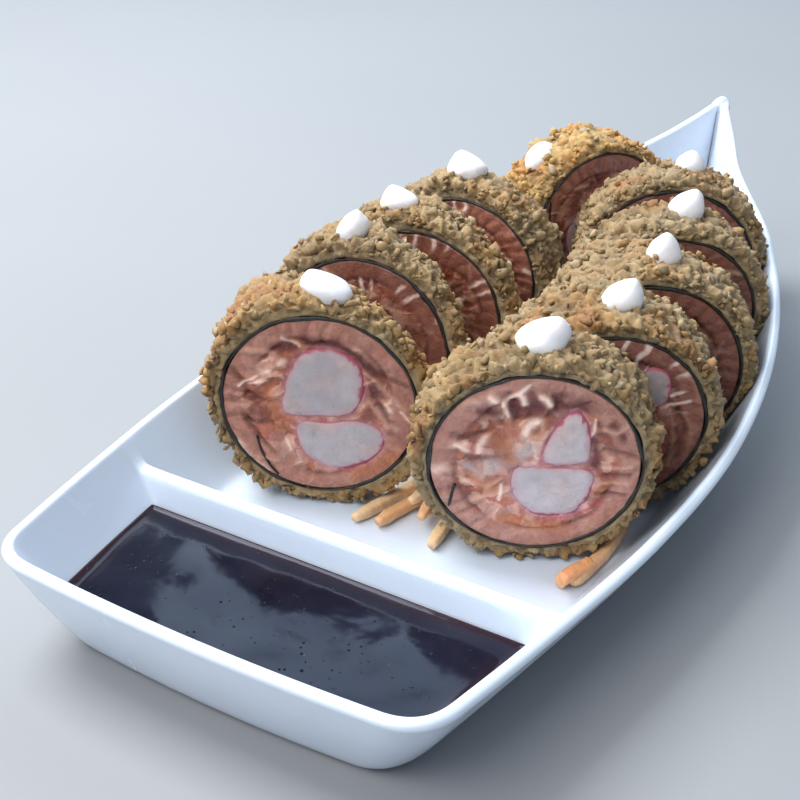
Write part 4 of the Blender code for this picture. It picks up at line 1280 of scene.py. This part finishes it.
def kani_face(loop, shares, seed, lower, light_factor):
    """Plan, relief and colours of a crab stick's cut, row by row from its edge to the middle."""
    middle = loop.mean(axis=0)
    reach = np.linalg.norm(loop - middle, axis=1)
    rim_place = lifted(loop, seed * 3.0)
    bearing = np.arctan2(loop[:, 1] - middle[1], loop[:, 0] - middle[0])
    toward = np.cos(bearing - (-SKIN_SIDE if lower else SKIN_SIDE))
    skin = ease(-0.1, 0.5, toward * 0.7 + noise(rim_place, 8.0, seed + 5) * 0.6)
    serration = (0.30 + 1.1 * np.maximum(noise(rim_place, 1.1, seed), 0.0)) * skin
    for share in shares:
        plan = middle + (loop - middle) * share
        flat = lifted(plan, seed * 3.0)
        edge = reach * (1 - share)
        relief = 0.5 * (1 - np.exp(-edge / 1.2)) - 0.1 + noise(flat, 3.5, seed + 1, 3) * 0.26
        colour = np.tile(np.array(KANI_WHITE), (len(loop), 1))
        colour = blend(colour, BEIGE, patches(flat, 5.0, seed + 2, -0.2, 1.0, 3) * 0.38)
        # painted light and shade: the slice's own brightness factor for its crab sticks
        colour *= (1 + 0.09 * noise(flat, 3.0, seed + 12, 2))[:, None] * light_factor
        colour = blend(colour, KANI_PINK, ease(1.8, 0.3, edge) * 0.5)
        colour = blend(colour, MAGENTA, ease(serration + 0.3, serration - 0.2, edge) * 0.85)
        yield plan, relief, colour


def build_kani(piece, stick, outline, material):
    """A crab stick: white flesh, and a red skin that shows as a serrated edge."""
    seed = piece.seed + len(stick)
    loop = rounded(outline, 110)
    shares = [1.0, 0.97, 0.93, 0.88, 0.82, 0.74, 0.65, 0.55, 0.44, 0.33, 0.22, 0.11, 0.0]
    # the crab sticks' painted light and shade factor, darker for the slices behind
    cut = list(kani_face(loop, shares, seed, stick == "lower", KANI_LIGHT_TONES.get(piece.name, KANI_SHADE_BEHIND)))
    skin = np.tile(np.array(MAGENTA), (len(loop), 1))
    rows = [(plan, piece.depth + relief, colour) for plan, relief, colour in reversed(cut)]
    rows += [(loop, piece.depth * part, skin) for part in (0.67, 0.33)]
    rows += [(plan, -relief, colour) for plan, relief, colour in cut]
    points = np.vstack([lifted(plan, along)[:, [0, 2, 1]] for plan, along, _ in rows])
    add_piece(f"crab_{piece.name}_{stick}", f"kani_{piece.name}_{stick}",
              piece.to_row(points), grid_faces(len(rows), len(loop)), material,
              np.vstack([colour for _, _, colour in rows]))


def build_dot(piece, material):
    """A piped topping: a soft round foot on the slope of the crust, drawn up to a bent point."""
    x, y, radius, height, pull, wide = DOTS[piece.name]
    seat, slope = piece.seat_height(x)
    widths = list(enumerate(r for r, _ in DOT_PROFILE))
    heights = list(enumerate(h for _, h in DOT_PROFILE))
    angles = np.linspace(0, 2 * np.pi, 48, endpoint=False)
    rows = []
    for up in np.linspace(0, len(DOT_PROFILE) - 1, 46):
        r = max(0.0, smooth_through(widths, up)) * radius
        share = smooth_through(heights, up)
        ring = ring_points(angles, np.full(len(angles), r))
        flat = lifted(ring, share * height)
        swell = 1 + 0.08 * noise(flat, 4.0, piece.seed, 2) * min(1.0, r / radius * 1.5)
        across = ring[:, 0] * swell * wide
        z = share * height + slope * across * (1 - share)
        rows.append(np.column_stack([across + pull * share ** 2, ring[:, 1] * swell, z]))
    points = np.vstack(rows) + np.array((x, y, seat - 0.2))
    add_piece(f"piped_{piece.name}", f"dot_{piece.name}", piece.place_real(points),
              grid_faces(len(rows), len(angles)), material)


# Carrots

def build_carrots(node, shreds, material, seed):
    """Square shreds with soft edges, a little bent and twisted, on the plate's floor."""
    draw = np.random.default_rng(seed)
    batch = Batch()
    for x0, along0, x1, along1, height in shreds:
        start = np.array((x0 * MM, CORNER_Y + along0 * MM))
        end = np.array((x1 * MM, CORNER_Y + along1 * MM))
        run = end - start
        side = np.array((run[1], -run[0])) / np.linalg.norm(run)
        bend, twist = draw.uniform(-1.2, 1.2) * MM, draw.uniform(-0.5, 0.5)
        steps, around = 40, 16
        rows = []
        for i in range(steps):
            part = i / (steps - 1)
            middle = start + run * part + side * bend * math.sin(math.pi * part)
            z = floor_height(middle[1]) + PLATE_WALL + height * MM
            turn = np.linspace(0, 2 * np.pi, around, endpoint=False) + np.pi / 8
            square = np.stack([np.cos(turn), np.sin(turn)], axis=1)
            square = np.sign(square) * np.abs(square) ** 0.55 * STRIP_WIDTH * 0.5
            taper = min(1.0, 0.62 + part * 5, 0.62 + (1 - part) * 5)
            flat = lifted(square, part * 30 + seed + x0)
            square = square * taper * (1 + 0.08 * noise(flat, 3.0, seed, 2))[:, None] * MM
            c, s = math.cos(twist * part), math.sin(twist * part)
            across = square @ np.array(((c, s), (-s, c)))
            rows.append(np.column_stack([middle[0] + side[0] * across[:, 0],
                                         middle[1] + side[1] * across[:, 0], z + across[:, 1]]))
        points = np.vstack(rows)
        faces = grid_faces(steps, around)
        faces.append(tuple(range(around)))
        faces.append(tuple(reversed(range((steps - 1) * around, steps * around))))
        shade = blend(np.array([CARROT]), PALE_CARROT, draw.uniform(0.0, 1.0, 1))[0]
        batch.add(points, faces, shade, 0.5)
    points, faces, tints, _ = batch.arrays()
    points[:, 2] = np.maximum(points[:, 2], floor_height(points[:, 1]) + PLATE_WALL)
    add_piece(f"shreds_{node}", node, points, faces, material, tints)


# Stage

def build_stage():
    """A plain pale table just under the plate."""
    mesh = bpy.data.meshes.new("table")
    half = 3.0
    mesh.from_pydata([(-half, -half, 0), (half, -half, 0), (half, half, 0), (-half, half, 0)], [],
                     [(0, 1, 2, 3)])
    floor = bpy.data.objects.new("table", mesh)
    floor.location.z = -0.0002
    bpy.context.scene.collection.objects.link(floor)
    m = Nodes("pale_table")
    clouds = m.noise(3, 3)
    m.out("Base Color", m.ramp(clouds, [(0.3, (0.27, 0.275, 0.285)), (0.7, (0.29, 0.295, 0.305))]))
    m.set(Roughness=0.7)
    mesh.materials.append(m.material)
    floor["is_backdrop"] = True


def add_light(name, place, target, size, power, colour):
    """A soft rectangular light that faces its target."""
    data = bpy.data.lights.new(name, "AREA")
    data.shape = "RECTANGLE"
    data.size, data.size_y = size
    data.energy = power
    data.color = colour
    light = bpy.data.objects.new(name, data)
    light.location = place
    light.rotation_euler = (Vector(target) - Vector(place)).to_track_quat("-Z", "Y").to_euler()
    bpy.context.scene.collection.objects.link(light)


def build_lights():
    world = bpy.data.worlds.new("studio")
    world.use_nodes = True
    background = world.node_tree.nodes["Background"]
    background.inputs["Color"].default_value = (0.74, 0.86, 1, 1)
    background.inputs["Strength"].default_value = 0.50
    bpy.context.scene.world = world
    middle = (0, 0, 0.02)
    add_light("key", (-0.55, 0.00, 0.72), middle, (0.50, 0.50), 12, (0.95, 0.98, 1))
    add_light("window", (-0.30, 0.80, 0.60), middle, (0.8, 0.5), 5, (0.70, 0.85, 1))
    add_light("front", (-0.10, -0.60, 0.65), (0, -0.04, 0.02), (0.5, 0.4), 4.4, (1, 0.97, 0.95))


CAMERA_PLACE = (0.1312, -0.2777, 0.1746)
# turn to the left of +Y, look down, roll (degrees)
CAMERA_ANGLES = (30.70, 28.40, 1.13)
FOCAL_PIXELS = 1420.02
PHOTO_PIXELS = 800


def build_camera():
    data = bpy.data.cameras.new("camera")
    data.sensor_width = 36.0
    data.lens = FOCAL_PIXELS / PHOTO_PIXELS * data.sensor_width
    camera = bpy.data.objects.new("camera", data)
    yaw, pitch, roll = (math.radians(angle) for angle in CAMERA_ANGLES)
    turning = (Matrix.Rotation(yaw, 4, "Z") @ Matrix.Rotation(math.radians(90) - pitch, 4, "X")
               @ Matrix.Rotation(roll, 4, "Z"))
    camera.matrix_world = Matrix.Translation(CAMERA_PLACE) @ turning
    bpy.context.scene.collection.objects.link(camera)
    bpy.context.scene.camera = camera


def main():
    inner = build_plate(plate_material())
    inside = inside_height(inner)
    build_sauce(inner, sauce_material())
    crust, nori, filling = crust_material(), nori_material(), filling_material()
    kani, dot, carrot = kani_material(), dot_material(), carrot_material()
    for order, name in enumerate(SLICES):
        piece = Slice(name, order)
        build_crust(piece, crust, inside)
        build_nori(piece, nori)
        build_filling(piece, filling)
        for stick, outline in sticks_of(name).items():
            build_kani(piece, stick, outline, kani)
        build_dot(piece, dot)
    build_carrots("carrots_middle", MIDDLE_SHREDS, carrot, 4)
    build_carrots("carrots_right", RIGHT_SHREDS, carrot, 5)
    build_stage()
    build_lights()
    build_camera()
    bpy.context.scene.view_settings.view_transform = "Standard"
    boxes = [[list(corner) for corner in box] for box in (CAD_BOX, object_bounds())]


main()
